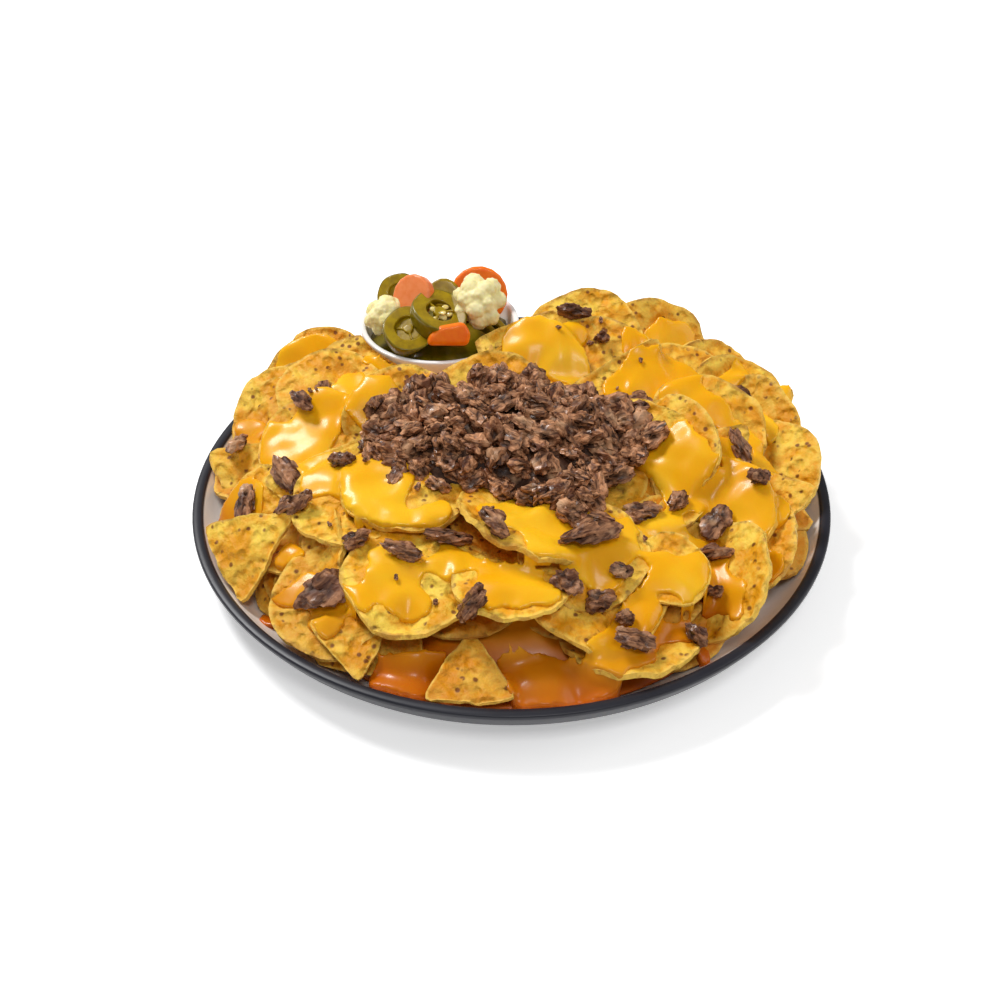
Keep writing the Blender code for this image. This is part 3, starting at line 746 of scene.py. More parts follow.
def model_chip(shape, index, fine):
    """One chip, CHIP_RADIUS in radius, with its middle at the origin and its upper face towards +Z."""
    obj = disc(CHIP_POINTS, CHIP_RADIUS, [width * CHIP_RADIUS for width in CHIP_RINGS], int(fine))
    edge = [vert.co.length / CHIP_RADIUS for vert in obj.data.vertices]
    chance = random.Random(31 * index + len(shape))
    waves = [(chance.uniform(0.008, 0.022), k, chance.uniform(0, math.tau)) for k in (2, 3, 5, 7)]
    for vert in obj.data.vertices:
        angle = math.atan2(vert.co.y, vert.co.x)
        vert.co *= 1 + sum(size * math.sin(times * angle + turn) for size, times, turn in waves)
        if shape == "corner":
            vert.co *= corner_reach(angle)
    store(obj.data, "edge", edge)
    first, axis, second = BENDS[index % len(BENDS)]
    bend(obj, first, axis)
    if second:
        bend(obj, second, "Y" if axis == "X" else "X")
    # Each model takes its relief from its own part of the textures
    spot = Vector((0.4 * index, 0.3 if shape == "round" else -0.3, 0))
    obj.data.transform(Matrix.Translation(spot))
    displace(obj, "CLOUDS", 0.028, 9 * MM)
    displace(obj, "CLOUDS", 0.009, 2.6 * MM, 1)
    if fine:
        displace(obj, "CLOUDS", 0.0045, 1.6 * MM, 1)
    obj.data.transform(Matrix.Translation(-spot))
    apply(obj, "SOLIDIFY", thickness=CHIP_THICKNESS, offset=0)
    bpy.ops.object.shade_smooth_by_angle(angle=math.radians(60))
    return obj


def chip_place(x, y, z, size, tilt, facing, turn):
    """Where a chip lies, from its middle in metres, its size as a share and its angles in radians."""
    place = Matrix.Translation((x, y, z)) @ turned(facing) @ turned(tilt, "Y")
    return place @ turned(turn) @ Matrix.Scale(size, 4)


def seated(shape, place):
    """The place drawn in and lifted until the chip's outline is over the plate and clear of it."""
    angles = [math.tau * k / 12 for k in range(12)]
    reaches = [CHIP_RADIUS * (corner_reach(a) if shape == "corner" else 1) for a in angles]
    outline = [place @ Vector((*polar(r, a), 0)) for r, a in zip(reaches, angles)]
    middle = place.translation
    excess = max(point.xy.length for point in outline) - CHIP_REACH
    shift = Vector((0, 0, 0))
    if excess > 0:
        shift = -Vector((middle.x, middle.y, 0)).normalized() * excess
    outline = [point + shift for point in outline]
    low = max(float(plate_inside(point.xy.length)) + CHIP_CLEARANCE - point.z for point in outline)
    return Matrix.Translation(shift + Vector((0, 0, max(0, low)))) @ place


def chip_courses():
    """Shapes, bends and places of the chips of all courses, a little uneven."""
    chance = random.Random(5)
    for count, first, last, distance, lift, tilt, first_facing, last_facing in COURSES:
        for k in range(count):
            share = k / (count - 1)
            bearing = math.radians(first + (last - first) * share)
            x, y = polar((distance + chance.uniform(-4, 4)) * MM, bearing)
            size = 1 + chance.uniform(-0.05, 0.04)
            facing = first_facing + (last_facing - first_facing) * share + chance.uniform(-10, 10)
            leaning = math.radians(tilt + chance.uniform(-6, 6))
            turn = math.tau * (k * 0.37 % 1)
            z = heap_even(x, y) + lift * MM - CHIP_BURIED * CHIP_RADIUS * size * math.sin(leaning)
            place = chip_place(x, y, z, size, leaning, math.radians(facing), turn)
            yield "corner" if k % 3 == 2 else "round", (3 * k + count) % CHIP_MODELS, place


def filler_places():
    """Shapes, bends and places of the lower chips, ring by ring."""
    chance = random.Random(11)
    step = 6 * MM
    for ring, count, sink, flatness in FILLER_RINGS:
        turn = chance.uniform(0, math.tau)
        for k in range(count):
            bearing = turn + math.tau * (k + chance.uniform(-0.3, 0.3)) / count
            away = (ring + chance.uniform(-5, 5)) * MM * footprint(bearing) / HEAP_RADIUS
            x, y = polar(away, bearing)
            from_front = abs(bearing % math.tau - 1.5 * math.pi)
            in_front = any(from_front < width and away > reach * MM for width, reach in FRONT_OPEN)
            if in_front or from_bowl(x, y) < BOWL_RADIUS + BOWL_ROOM:
                continue
            slope_x = (heap_even(x + step, y) - heap_even(x - step, y)) / (2 * step)
            slope_y = (heap_even(x, y + step) - heap_even(x, y - step)) / (2 * step)
            tilt = math.atan(math.hypot(slope_x, slope_y)) * flatness + math.radians(chance.uniform(-11, 11))
            facing = math.atan2(-slope_y, -slope_x) + chance.uniform(-0.45, 0.45)
            z = heap_even(x, y) - (sink + chance.uniform(0, 4)) * MM
            shape = "corner" if chance.random() < CORNER_SHARE else "round"
            size, spin = chance.uniform(0.9, 1.05), chance.uniform(0, math.tau)
            yield shape, chance.randrange(CHIP_MODELS), chip_place(x, y, z, size, tilt, facing, spin)


def copies(model, places, tones):
    """Copies of one model, each with its own mesh, at its place and with its own darkness, which holds random
    variety and painted shade.
    """
    made = []
    for place, tone in zip(places, tones):
        mesh = model.data.copy()
        mesh.transform(place)
        store(mesh, "tone", [tone] * len(mesh.vertices))
        obj = bpy.data.objects.new(model.name, mesh)
        bpy.context.scene.collection.objects.link(obj)
        made.append(obj)
    return made


def joined(name, pieces):
    """Pieces as one mesh object, which is the active one."""
    deselect()
    for piece in pieces:
        piece.select_set(True)
    bpy.context.view_layer.objects.active = pieces[0]
    bpy.ops.object.join()
    return named(pieces[0], name)


def keep_clear(obj):
    """Press chips that would pass through the plate or the small bowl gently out of them."""
    flat = np.empty(len(obj.data.vertices) * 3)
    obj.data.vertices.foreach_get("co", flat)
    places = flat.reshape(-1, 3)
    away = np.hypot(places[:, 0], places[:, 1])
    outside = np.maximum(away / EDGE_LIMIT, 1)
    places[:, :2] /= outside[:, None]
    away = np.minimum(away, EDGE_LIMIT)
    floor = np.where(away > LIP_RADIUS, RIM_HEIGHT, plate_inside(away)) + PLATE_GAP
    places[:, 2] = np.maximum(places[:, 2], floor)
    bowl = np.array(BOWL_MIDDLE.xy)
    offset = places[:, :2] - bowl
    distance = np.hypot(offset[:, 0], offset[:, 1]) + 1e-9
    lifted = places[:, 2] - BOWL_LOW.z
    wall = np.array([bowl_inside(h) for h in np.clip(lifted, 0, BOWL_HIGH.z)]) + BOWL_WALL + BOWL_GAP
    near = (places[:, 2] < BOWL_HIGH.z + 3 * MM) & (distance < wall)
    places[:, :2] = bowl + offset * np.where(near, wall / distance, 1)[:, None]
    obj.data.vertices.foreach_set("co", places.ravel())
    obj.data.update()


def single_chips():
    """Shapes, bends and places of the chips that stand out."""
    for shape, x, y, lift, size, tilt, facing, turn, index in SINGLE_CHIPS:
        angles = [math.radians(a) for a in (tilt, facing, turn)]
        z = heap_even(x * MM, y * MM) + (lift - CHIP_BURIED * size / 2 * math.sin(angles[0])) * MM
        yield shape, index, chip_place(x * MM, y * MM, z, size * MM / (2 * CHIP_RADIUS), *angles)


def make_chips():
    """All chips of the heap: the upper ones finely modelled, the lower ones with fewer faces."""
    chance = random.Random(3)
    finish = chip_finish()
    made = []
    layers = ("top", True, [*single_chips(), *chip_courses()]), ("low", False, [*filler_places()])
    for layer, fine, rows in layers:
        for shape in ("round", "corner"):
            pieces = []
            for index in range(CHIP_MODELS):
                model = model_chip(shape, index, fine)
                own = [place for kind, number, place in rows if (kind, number) == (shape, index)]
                # The lower chips' values carry painted shade as well as random tone
                tones = [(0 if fine else LOW_TONE) + chance.random() for _ in own]
                pieces += copies(model, [seated(shape, place) for place in own], tones)
                bpy.data.objects.remove(model)
            chips = joined(f"{shape}_chips_{layer}", pieces)
            keep_clear(chips)
            made.append(finished(chips, finish, "nachos_heap", slot="corn_chip"))
    return made


def make_core(finish):
    """What lies under the chips: a smaller solid heap that closes the gaps between them."""
    obj = disc(64, CORE_RADIUS, [8 * MM] * 15)
    for vert in obj.data.vertices:
        front = hump(math.atan2(vert.co.y, vert.co.x), *CORE_FRONT)
        vert.co *= 1 + CORE_FRONT_REACH * front
        x, y, away = vert.co.x, vert.co.y, vert.co.length
        near_bowl = smooth_step((from_bowl(x, y) - BOWL_RADIUS - 2 * MM) / CORE_AT_BOWL)
        outer = smooth_step((CORE_RADIUS * (1 + CORE_FRONT_REACH * front) - away) / CORE_EDGE)
        depth = (CORE_DEPTH - CORE_FRONT_RISE * front) * MM
        rise = max(0, heap_even(x, y) - depth - PLATE_FLOOR) * outer
        vert.co.z = float(plate_inside(away)) + CORE_OVER_PLATE + rise * near_bowl
    apply(obj, "SOLIDIFY", thickness=1.2 * MM, offset=-1)
    bpy.ops.object.shade_smooth()
    return finished(named(obj, "heap_core"), finish, "nachos_heap", slot="cheese_sauce")


class Ground:
    """Heights of what has been laid so far, on a grid of GRID_STEP over the plate."""

    def __init__(self, *pieces):
        self.count = int(2 * GRID_REACH / GRID_STEP) + 1
        self.heights = np.full((self.count, self.count), -1.0)
        for piece in pieces:
            self.add(piece)

    def add(self, piece):
        mesh = piece.data
        places = [vert.co for vert in mesh.vertices]
        tree = BVHTree.FromPolygons(places, [tuple(face.vertices) for face in mesh.polygons])
        low = min(place.x for place in places), min(place.y for place in places)
        high = max(place.x for place in places), max(place.y for place in places)
        down = Vector((0, 0, -1))
        first, last = self.cell(*low), self.cell(*high)
        for i in range(max(0, first[0]), min(self.count, last[0] + 2)):
            for j in range(max(0, first[1]), min(self.count, last[1] + 2)):
                x, y = self.spot(i, j)
                hit = tree.ray_cast(Vector((x, y, 1)), down)[0]
                if hit:
                    self.heights[i, j] = max(self.heights[i, j], hit.z)

    def cell(self, x, y):
        return int(round((x + GRID_REACH) / GRID_STEP)), int(round((y + GRID_REACH) / GRID_STEP))

    def spot(self, i, j):
        return i * GRID_STEP - GRID_REACH, j * GRID_STEP - GRID_REACH

    def at(self, x, y):
        return self.heights[self.cell(x, y)]

    def normal(self, x, y, reach):
        east, west = self.at(x + reach, y), self.at(x - reach, y)
        north, south = self.at(x, y + reach), self.at(x, y - reach)
        return Vector(((west - east) / (2 * reach), (south - north) / (2 * reach), 1)).normalized()


def pour(ground, film, x, y, spread, thick, seed):
    """Let sauce run from a point: quickly downhill, over chip edges with a pause, and never up a wall."""
    chance = random.Random(seed)
    waves = []
    for _ in range(3):
        waves.append((chance.uniform(0.08, 0.2), chance.randrange(2, 6), chance.uniform(0, math.tau)))
    start = ground.cell(x, y)
    nearest = {start: 0.0}
    queue = [(0.0, start)]
    while queue:
        cost, here = heapq.heappop(queue)
        if cost > nearest[here]:
            continue
        bearing = math.atan2(here[1] - start[1], here[0] - start[0])
        reach = spread * (1 + sum(size * math.sin(times * bearing + turn) for size, times, turn in waves))
        if cost > reach:
            continue
        film[here] = max(film[here], thick * (1 - (cost / reach) ** 2.4) ** 0.55)
        for step_i, step_j in EIGHT_WAYS:
            there = here[0] + step_i, here[1] + step_j
            if math.hypot(*ground.spot(*there)) > SAUCE_REACH:
                continue
            run = math.hypot(step_i, step_j) * GRID_STEP
            fall = (ground.heights[here] - ground.heights[there]) / run
            if fall < -CLIMB_LIMIT:
                continue
            toll = run * (1 + CLIMB_TOLL * max(0, -fall) - FALL_GAIN * min(1, max(0, fall)))
            if fall > CLIFF_SLOPE:
                toll += CLIFF_TOLL
            if cost + toll < nearest.get(there, 1.0):
                nearest[there] = cost + toll
                heapq.heappush(queue, (cost + toll, there))


def neighbours(field, mask):
    """Mean of a field over each cell and its masked neighbours."""
    total, weight = np.zeros_like(field), np.zeros_like(field)
    for step in AROUND:
        total += np.roll(np.where(mask, field, 0), step, (0, 1))
        weight += np.roll(mask, step, (0, 1))
    return total / np.maximum(weight, 1)


def blurred(field):
    """Average over each cell and the eight round it."""
    return sum(np.roll(field, step, (0, 1)) for step in AROUND) / 9


def chip_pours():
    """Where sauce was poured on the chips of the courses and on those that stand out."""
    chance = random.Random(17)
    for _, _, place in [*single_chips()][:-BARE_CHIPS] + [*chip_courses()]:
        across, along = -chance.uniform(0, 0.6) * CHIP_RADIUS, chance.uniform(-0.4, 0.4) * CHIP_RADIUS
        uphill = place @ Vector((across, along, 0))
        if chance.random() < SAUCED_SHARE:
            yield uphill.x / MM, uphill.y / MM, chance.uniform(12, 22), chance.uniform(2, 3.4)


def sauce_film(ground):
    """Where sauce lies on the grid, and how thick."""
    film = np.zeros_like(ground.heights)
    for index, (x, y, spread, thick) in enumerate([*POURS, *chip_pours()]):
        pour(ground, film, x * MM, y * MM, spread * SPREAD_SHARE * MM, thick * THICK_SHARE * MM, index)
    along, across = np.meshgrid(*2 * [np.arange(ground.count) * GRID_STEP - GRID_REACH], indexing="ij")
    inside = np.hypot(along, across) < SAUCE_REACH
    for x, y, radius, level in POOLS:
        share = np.minimum(np.hypot(along - x * MM, across - y * MM) / (radius * MM), 1)
        film = np.maximum(film, (level * MM - ground.heights) * (1 - share**2.6) ** 0.6 * inside)
    covered = (film > FILM_LEAST).astype(float)
    for _ in range(EDGE_ROUNDS):
        covered = blurred(covered)
    mask = covered > 0.5
    return mask, np.where(mask, neighbours(film, mask), 0)


def closed_sheet(ground, top, base, cells):
    """Points and faces of a sheet between two fields of heights over some cells of the grid."""
    used = np.zeros_like(top, dtype=bool)
    for i, j in ((0, 0), (1, 0), (0, 1), (1, 1)):
        used[i : ground.count - 1 + i, j : ground.count - 1 + j] |= cells
    count = int(used.sum())
    number = np.full(used.shape, -1)
    number[used] = np.arange(count)
    places = [(*ground.spot(i, j), side[i, j]) for side in (top, base) for i, j in zip(*np.nonzero(used))]
    faces = []
    for i, j in zip(*np.nonzero(cells)):
        corners = [int(number[spot]) for spot in ((i, j), (i + 1, j), (i + 1, j + 1), (i, j + 1))]
        faces.append(corners)
        faces.append([corner + count for corner in reversed(corners)])
        for side, beyond in enumerate(((i, j - 1), (i + 1, j), (i, j + 1), (i - 1, j))):
            if not cells[beyond]:
                a, b = corners[side], corners[(side + 1) % 4]
                faces.append([b, a, a + count, b + count])
    return places, faces


def make_sauce(ground, finish):
    """The cheese sauce: poured over the heap's heights, smoothed on top and closed below."""
    mask, film = sauce_film(ground)
    top = ground.heights + film
    lowest, highest = (ground.heights + film * share + more for share, more in (TOP_LEAST, TOP_MOST))
    for _ in range(5):
        top = np.where(mask, np.clip(neighbours(top, mask), lowest, highest), top)
    covered = np.where(mask, ground.heights, 1.0)
    base = np.min([np.roll(covered, step, (0, 1)) for step in AROUND], axis=0) - 0.8 * MM
    corners = [top[i : ground.count - 1 + i, j : ground.count - 1 + j] for i in (0, 1) for j in (0, 1)]
    cells = mask[:-1, :-1] & mask[1:, :-1] & mask[:-1, 1:] & mask[1:, 1:]
    cells &= np.max(corners, axis=0) - np.min(corners, axis=0) < SAUCE_DROP
    places, faces = closed_sheet(ground, top, base, cells)
    sauce = named(blank(places, [], faces), "cheese_sauce")
    melt(sauce, SAUCE_VOXEL, 0.5, 5)
    apply(sauce, "DECIMATE", ratio=SAUCE_SHARE_KEPT)
    apply(sauce, "SMOOTH", factor=0.4, iterations=1)
    bpy.ops.object.shade_smooth()
    return finished(sauce, finish, "nachos_heap", "cheese_pool_1", "cheese_pool_2", slot="cheese_sauce")


def model_beef(index, faces_kept):
    """One torn piece of beef about 1 m long, to be scaled to its place."""
    obj = added(bpy.ops.mesh.primitive_ico_sphere_add, subdivisions=4, radius=0.5)
    chance = random.Random(50 + index)
    obj.data.transform(Matrix.Diagonal((1.0, chance.uniform(0.8, 1.0), chance.uniform(0.8, 1.0), 1)))
    # Each model takes its relief from its own part of the textures
    away = Matrix.Translation((3.0 * index + 1, 2.0, 0.5))
    obj.data.transform(away)
    displace(obj, "CLOUDS", 0.55, 0.5, 1)
    displace(obj, "VORONOI", 0.34, 0.36)
    displace(obj, "CLOUDS", 0.13, 0.24)
    obj.data.transform(away.inverted())
    middle = sum((vert.co for vert in obj.data.vertices), Vector()) / len(obj.data.vertices)
    length = max(vert.co.x for vert in obj.data.vertices) - min(vert.co.x for vert in obj.data.vertices)
    obj.data.transform(Matrix.Scale(1 / length, 4) @ Matrix.Translation(-middle))
    # How far each point reaches from the middle: the finish paints shade in the hollows from it
    reaches = [vert.co.length for vert in obj.data.vertices]
    low, high = min(reaches), max(reaches)
    store(obj.data, "rise", [(reach - low) / (high - low) for reach in reaches])
    apply(obj, "DECIMATE", ratio=faces_kept / BEEF_FACES)
    bpy.ops.object.shade_smooth_by_angle(angle=math.radians(50))
    twist = Matrix.Rotation(chance.uniform(-0.6, 0.6), 3, "Z")
    grains = [twist @ vert.co * 1.1 + Vector((index, 0, 0)) for vert in obj.data.vertices]
    store(obj.data, "grain", [value for grain in grains for value in grain], "FLOAT_VECTOR")
    return obj


def pile_reach(bearing):
    """How far the beef pile reaches from its own middle in a direction."""
    across, along = PILE_DEPTH * math.cos(bearing), PILE_WIDTH * math.sin(bearing)
    oval = PILE_WIDTH * PILE_DEPTH / math.hypot(across, along)
    ragged = 2.5 * MM * math.sin(5 * bearing + 1) + 1.5 * MM * math.sin(11 * bearing)
    return oval + ragged + PILE_TONGUE * hump(bearing, *TONGUE_AT)


def pile_base(ground, x, y):
    """Height that the beef lies on: the chips and sauce, evened out where they stick up or gape."""
    even = heap_even(x, y)
    return min(max(ground.at(x, y), even - 3 * MM), even + 2 * MM) + 2 * MM


def pile_rise(share):
    """Height of the pile over what it lies on, at a share of its reach from its middle."""
    return PILE_RISE * (1 - share**2.6)


def pile_spot(away, bearing):
    """A point at a distance and bearing from the beef pile's middle."""
    x, y = polar(away, bearing)
    return PILE_AT.x + x, PILE_AT.y + y


def make_pile_core(ground, finish):
    """Low mound under the pile's pieces that closes the gaps between them, painted dark as the shade in those
    gaps.
    """
    obj = disc(48, 1, [0.1] * 9)
    for vert in obj.data.vertices:
        share, bearing = vert.co.xy.length, math.atan2(vert.co.y, vert.co.x)
        x, y = pile_spot(share * (pile_reach(bearing) - 6 * MM), bearing)
        rise = pile_rise(share) * 0.6 - 7 * MM * smooth_step((share - 0.8) / 0.2)
        vert.co = x, y, pile_base(ground, x, y) + rise
    apply(obj, "SOLIDIFY", thickness=2 * MM, offset=-1)
    displace(obj, "CLOUDS", 0.006, 5 * MM, 1)
    bpy.ops.object.shade_smooth()
    # Painted shade: the mound is darker, and without a rise of its own it also takes the hollows' painted
    # shade
    store(obj.data, "tone", [1.6] * len(obj.data.vertices))
    grain = [value / (12 * MM) for vert in obj.data.vertices for value in vert.co]
    store(obj.data, "grain", grain, "FLOAT_VECTOR")
    finished(named(obj, "beef_pile_core"), finish, "beef_pile", slot="chopped_beef")


def make_beef(ground):
    """The pile of chopped beef, the single pieces and the crumbs of it."""
    finish = beef_finish()
    chance = random.Random(23)
    fine = [model_beef(k, SINGLE_FACES) for k in range(6)]
    plain = [model_beef(k, PILE_FACES) for k in range(10)]

    def laid(model, x, y, z, size, upright, turn, least=0):
        lean = Vector((0, 0, 1)).rotation_difference(upright).to_matrix().to_4x4()
        place = Matrix.Translation((x, y, z)) @ lean @ turned(turn) @ Matrix.Diagonal((*size, 1))
        return copies(model, [place], [least + chance.random() ** 1.5])

    make_pile_core(ground, finish)
    layers = []
    for layer, (_, spacing, tries, height) in enumerate(PILE_LAYERS):
        seats, pieces = [], []
        for _ in range(tries):
            bearing, share = chance.uniform(0, math.tau), math.sqrt(chance.random())
            x, y = pile_spot((pile_reach(bearing) - (2 + 3 * layer) * MM) * share, bearing)
            if any(math.hypot(x - a, y - b) < spacing * MM for a, b in seats):
                continue
            seats.append((x, y))
            length = chance.uniform(*PILE_LENGTHS) * MM
            size = length, length * chance.uniform(0.6, 0.95), length * chance.uniform(0.5, 0.75)
            scatter = Vector([chance.gauss(0, 0.4) for _ in range(3)])
            upright = (ground.normal(x, y, 7 * MM) + scatter).normalized()
            z = pile_base(ground, x, y) + pile_rise(share) * height
            pieces += laid(chance.choice(plain), x, y, z, size, upright, chance.uniform(0, math.tau))
        layers.append(pieces)
    for (name, *_), pieces in zip(PILE_LAYERS, layers):
        finished(joined("beef_pile_" + name, pieces), finish, "beef_pile", slot="chopped_beef")

    singles = []
    nodes = sorted(name for name in frame["nodes"] if name.startswith("beef_") and name != "beef_pile")
    for index, (node, (long, short, turn)) in enumerate(zip(nodes, BEEF_TURNS)):
        low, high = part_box(node)
        x, y, z = (low + high) / 2
        z = min(z + 6 * MM, ground.at(x, y) + 3 * MM)
        size = long * MM * BEEF_SHARES[0], short * MM * BEEF_SHARES[1], BEEF_HEIGHT
        upright = ground.normal(x, y, 5 * MM)
        singles += laid(fine[index % len(fine)], x, y, z, size, upright, math.radians(turn), 1)
    finished(joined("beef_singles", singles), finish, *nodes, slot="chopped_beef")

    crumbs = []
    for _ in range(CRUMBS):
        bearing, away = chance.uniform(0, math.tau), chance.uniform(*CRUMBS_AT) * MM
        x, y = polar(away, bearing)
        if ground.at(x, y) > 0 and from_bowl(x, y) > BOWL_RADIUS + 4 * MM:
            length = chance.uniform(*CRUMB_LENGTHS) * MM
            size = length, length * 0.7, length * 0.6
            z, turn = ground.at(x, y) + 0.4 * length, chance.uniform(0, math.tau)
            crumbs += laid(chance.choice(plain), x, y, z, size, ground.normal(x, y, 2 * MM), turn)
    finished(joined("beef_crumbs", crumbs), finish, "nachos_heap", slot="chopped_beef")
    for model in fine + plain:
        bpy.data.objects.remove(model)


def pickle_place(node):
    """Where a piece of pickle sits: its node's middle, with its tilt and the way it faces."""
    tilt, facing = (math.radians(angle) for angle in PICKLE_LEANS[node])
    low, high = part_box(node)
    return Matrix.Translation((low + high) / 2) @ turned(facing) @ turned(tilt, "Y")


def flesh_finish(name):
    """Wet pickled flesh: the skin's colours on the rind and the inner colours on cut faces."""
    *shades, scale, coat, least_rough = FLESHES[name]
    skin, other_skin, inner, other_inner = (colour(*shade) for shade in shades)
    finish = Finish(
        name, subsurface_weight=0.35, subsurface_scale=0.003, subsurface_radius=(1.0, 0.8, 0.3),
        coat_weight=coat, specular_ior_level=0.3,
    )
    cloud = finish.noise(scale, 4, 0.6)
    rind = (finish.attribute("edge") + cloud * 0.3 - 0.15).between(0.35, 0.75)
    body = finish.mix(rind, inner, skin)
    body = finish.mix(cloud.between(0.35, 0.68), body, finish.mix(rind, other_inner, other_skin))
    relief = finish.bump(cloud, 0.25, 0.0008)
    return finish.feed(base_color=body, roughness=cloud * 0.2 + least_rough, normal=relief)


def marked(obj, rind):
    """Store how much each point belongs to the rind."""
    store(obj.data, "edge", [rind(vert.co) for vert in obj.data.vertices])
    return obj


def seed_bits(count, size):
    """Small flat pepper seeds, strewn round the middle."""
    chance = random.Random(8)
    pieces = []
    for _ in range(count):
        bearing, reach = chance.uniform(0, math.tau), chance.uniform(1.5, 5.5) * MM
        x, y = polar(reach, bearing)
        z, tilt = chance.uniform(0, 2.6) * MM, chance.uniform(-0.7, 0.7)
        obj = added(bpy.ops.mesh.primitive_uv_sphere_add, segments=12, ring_count=8, radius=size / 2)
        obj.data.transform(Matrix.Diagonal((1.15, 0.9, 0.42, 1)))
        lean = turned(bearing) @ turned(tilt, "Y")
        obj.data.transform(Matrix.Translation((x, y, z)) @ lean)
        bpy.ops.object.shade_smooth()
        pieces.append(marked(obj, lambda place: 0))
    return joined("seeds", pieces)


def model_ring(outer, inner, thick, bow, seed):
    """A slice of pepper: a ring with flat cut faces and a rounded skin, uneven and bent a little."""
    half, reach = thick / 2, (outer - inner) / 4
    middle = (outer + inner) / 4
    profile = [((middle + reach * across) * MM, half * up * MM) for across, up in RING_PROFILE]
    ring = spun("pepper_ring", profile, 40)

    def rind(place):
        return smooth_step((math.hypot(place.x, place.y) / MM - middle - 0.6 * reach) / (0.4 * reach))

    marked(ring, rind)
    apply(ring, "SUBSURF", levels=1)
    for vert in ring.data.vertices:
        angle = math.atan2(vert.co.y, vert.co.x)
        vert.co *= 1 + 0.035 * math.sin(2 * angle + seed) + 0.02 * math.sin(5 * angle + 2 * seed)
    bend(ring, bow, "X")
    bend(ring, -0.6 * bow, "Y")
    return ring


def model_web(inner, thick, arms, seed):
    """The pale web inside a pepper slice, with arms that reach the wall."""
    chance = random.Random(seed)
    hub = {"vertices": 12, "radius": inner * 0.2 * MM, "depth": thick * 0.7 * MM}
    parts = [added(bpy.ops.mesh.primitive_cylinder_add, **hub)]
    for k in range(arms):
        arm = added(bpy.ops.mesh.primitive_cube_add, size=1)
        arm.data.transform(Matrix.Diagonal((inner * 0.52 * MM, 1.3 * MM, thick * 0.6 * MM, 1)))
        arm.data.transform(Matrix.Translation((inner * 0.26 * MM, 0, 0)))
        arm.data.transform(turned(math.tau * (k + chance.uniform(-0.15, 0.15)) / arms))
        parts.append(arm)
    web = joined("web", parts)
    melt(web, 0.5 * MM, 0.6, 4)
    bpy.ops.object.shade_smooth()
    return marked(web, lambda place: 0)


def model_floret(size, seed):
    """A cauliflower floret: small curds over a dome on a short stalk, grown together."""
    chance = random.Random(seed)
    spots = [(0, 0, 0.05, 0.34), (0, 0, -0.28, 0.2)]
    for ring, count, rise in ((0.2, 5, 0.2), (0.32, 7, 0.04), (0.0, 1, 0.26)):
        for k in range(count):
            bearing = math.tau * (k + chance.uniform(-0.2, 0.2)) / count
            spots.append((*polar(ring * chance.uniform(0.9, 1.1), bearing), rise, chance.uniform(0.14, 0.19)))
    parts = []
    for x, y, z, radius in spots:
        curd = added(bpy.ops.mesh.primitive_ico_sphere_add, subdivisions=3, radius=radius * size)
        curd.data.transform(Matrix.Translation((x * size, y * size, z * size)))
        parts.append(curd)
    floret = joined("floret", parts)
    apply(floret, "REMESH", mode="VOXEL", voxel_size=size * 0.022)
    displace(floret, "VORONOI", size * 0.075, -size * 0.04)
    apply(floret, "SMOOTH", factor=0.5, iterations=2)
    bpy.ops.object.shade_smooth()
    return marked(floret, lambda place: smooth_step(0.4 - place.z / size * 1.4))


def model_slab(outline, thick, soften):
    """A cut piece: an outline in mm, extruded, bevelled and softened."""
    points = [(x * MM, y * MM, -thick * MM / 2) for x, y in outline]
    obj = blank(points, [], [tuple(range(len(points)))])
    bpy.ops.object.mode_set(mode="EDIT")
    bpy.ops.mesh.select_all(action="SELECT")
    bpy.ops.mesh.extrude_region_move(TRANSFORM_OT_translate={"value": (0, 0, thick * MM)})
    bpy.ops.mesh.select_all(action="SELECT")
    bpy.ops.mesh.normals_make_consistent(inside=False)
    bpy.ops.object.mode_set(mode="OBJECT")
    apply(obj, "BEVEL", width=soften * MM, segments=3, limit_method="ANGLE")
    melt(obj, 0.55 * MM, 0.5, 3)
    bpy.ops.object.shade_smooth()
    return marked(obj, lambda place: smooth_step(1.3 - 2.6 * abs(place.z) / (thick * MM)))


def round_outline(radius, first, last, steps, inner=0):
    """An arc in mm between two angles in degrees, closed by an inner arc if it has one."""
    angles = [math.radians(first + (last - first) * k / steps) for k in range(steps + 1)]
    out = [polar(radius, a) for a in angles]
    if inner:
        out += [polar(inner, a) for a in reversed(angles)]
    return out


def make_pickle_bed(finish):
    """The brine and bits that fill the bowl under the pieces."""
    bed = disc(48, bowl_inside(40 * MM) - 0.4 * MM, [3 * MM] * 10)
    for vert in bed.data.vertices:
        share = math.hypot(vert.co.x, vert.co.y) / BOWL_RADIUS
        vert.co.z = 44 * MM + 12 * MM * (1 - share**2)
    bed.data.transform(Matrix.Translation((*BOWL_MIDDLE.xy, 0)))
    displace(bed, "CLOUDS", 0.012, 9 * MM)
    apply(bed, "SOLIDIFY", thickness=6 * MM, offset=-1)
    bpy.ops.object.shade_smooth()
    bed.name = "pickle_bed"
    finished(marked(bed, lambda place: 1), finish, "pickle_fill", slot="pickle_mix")


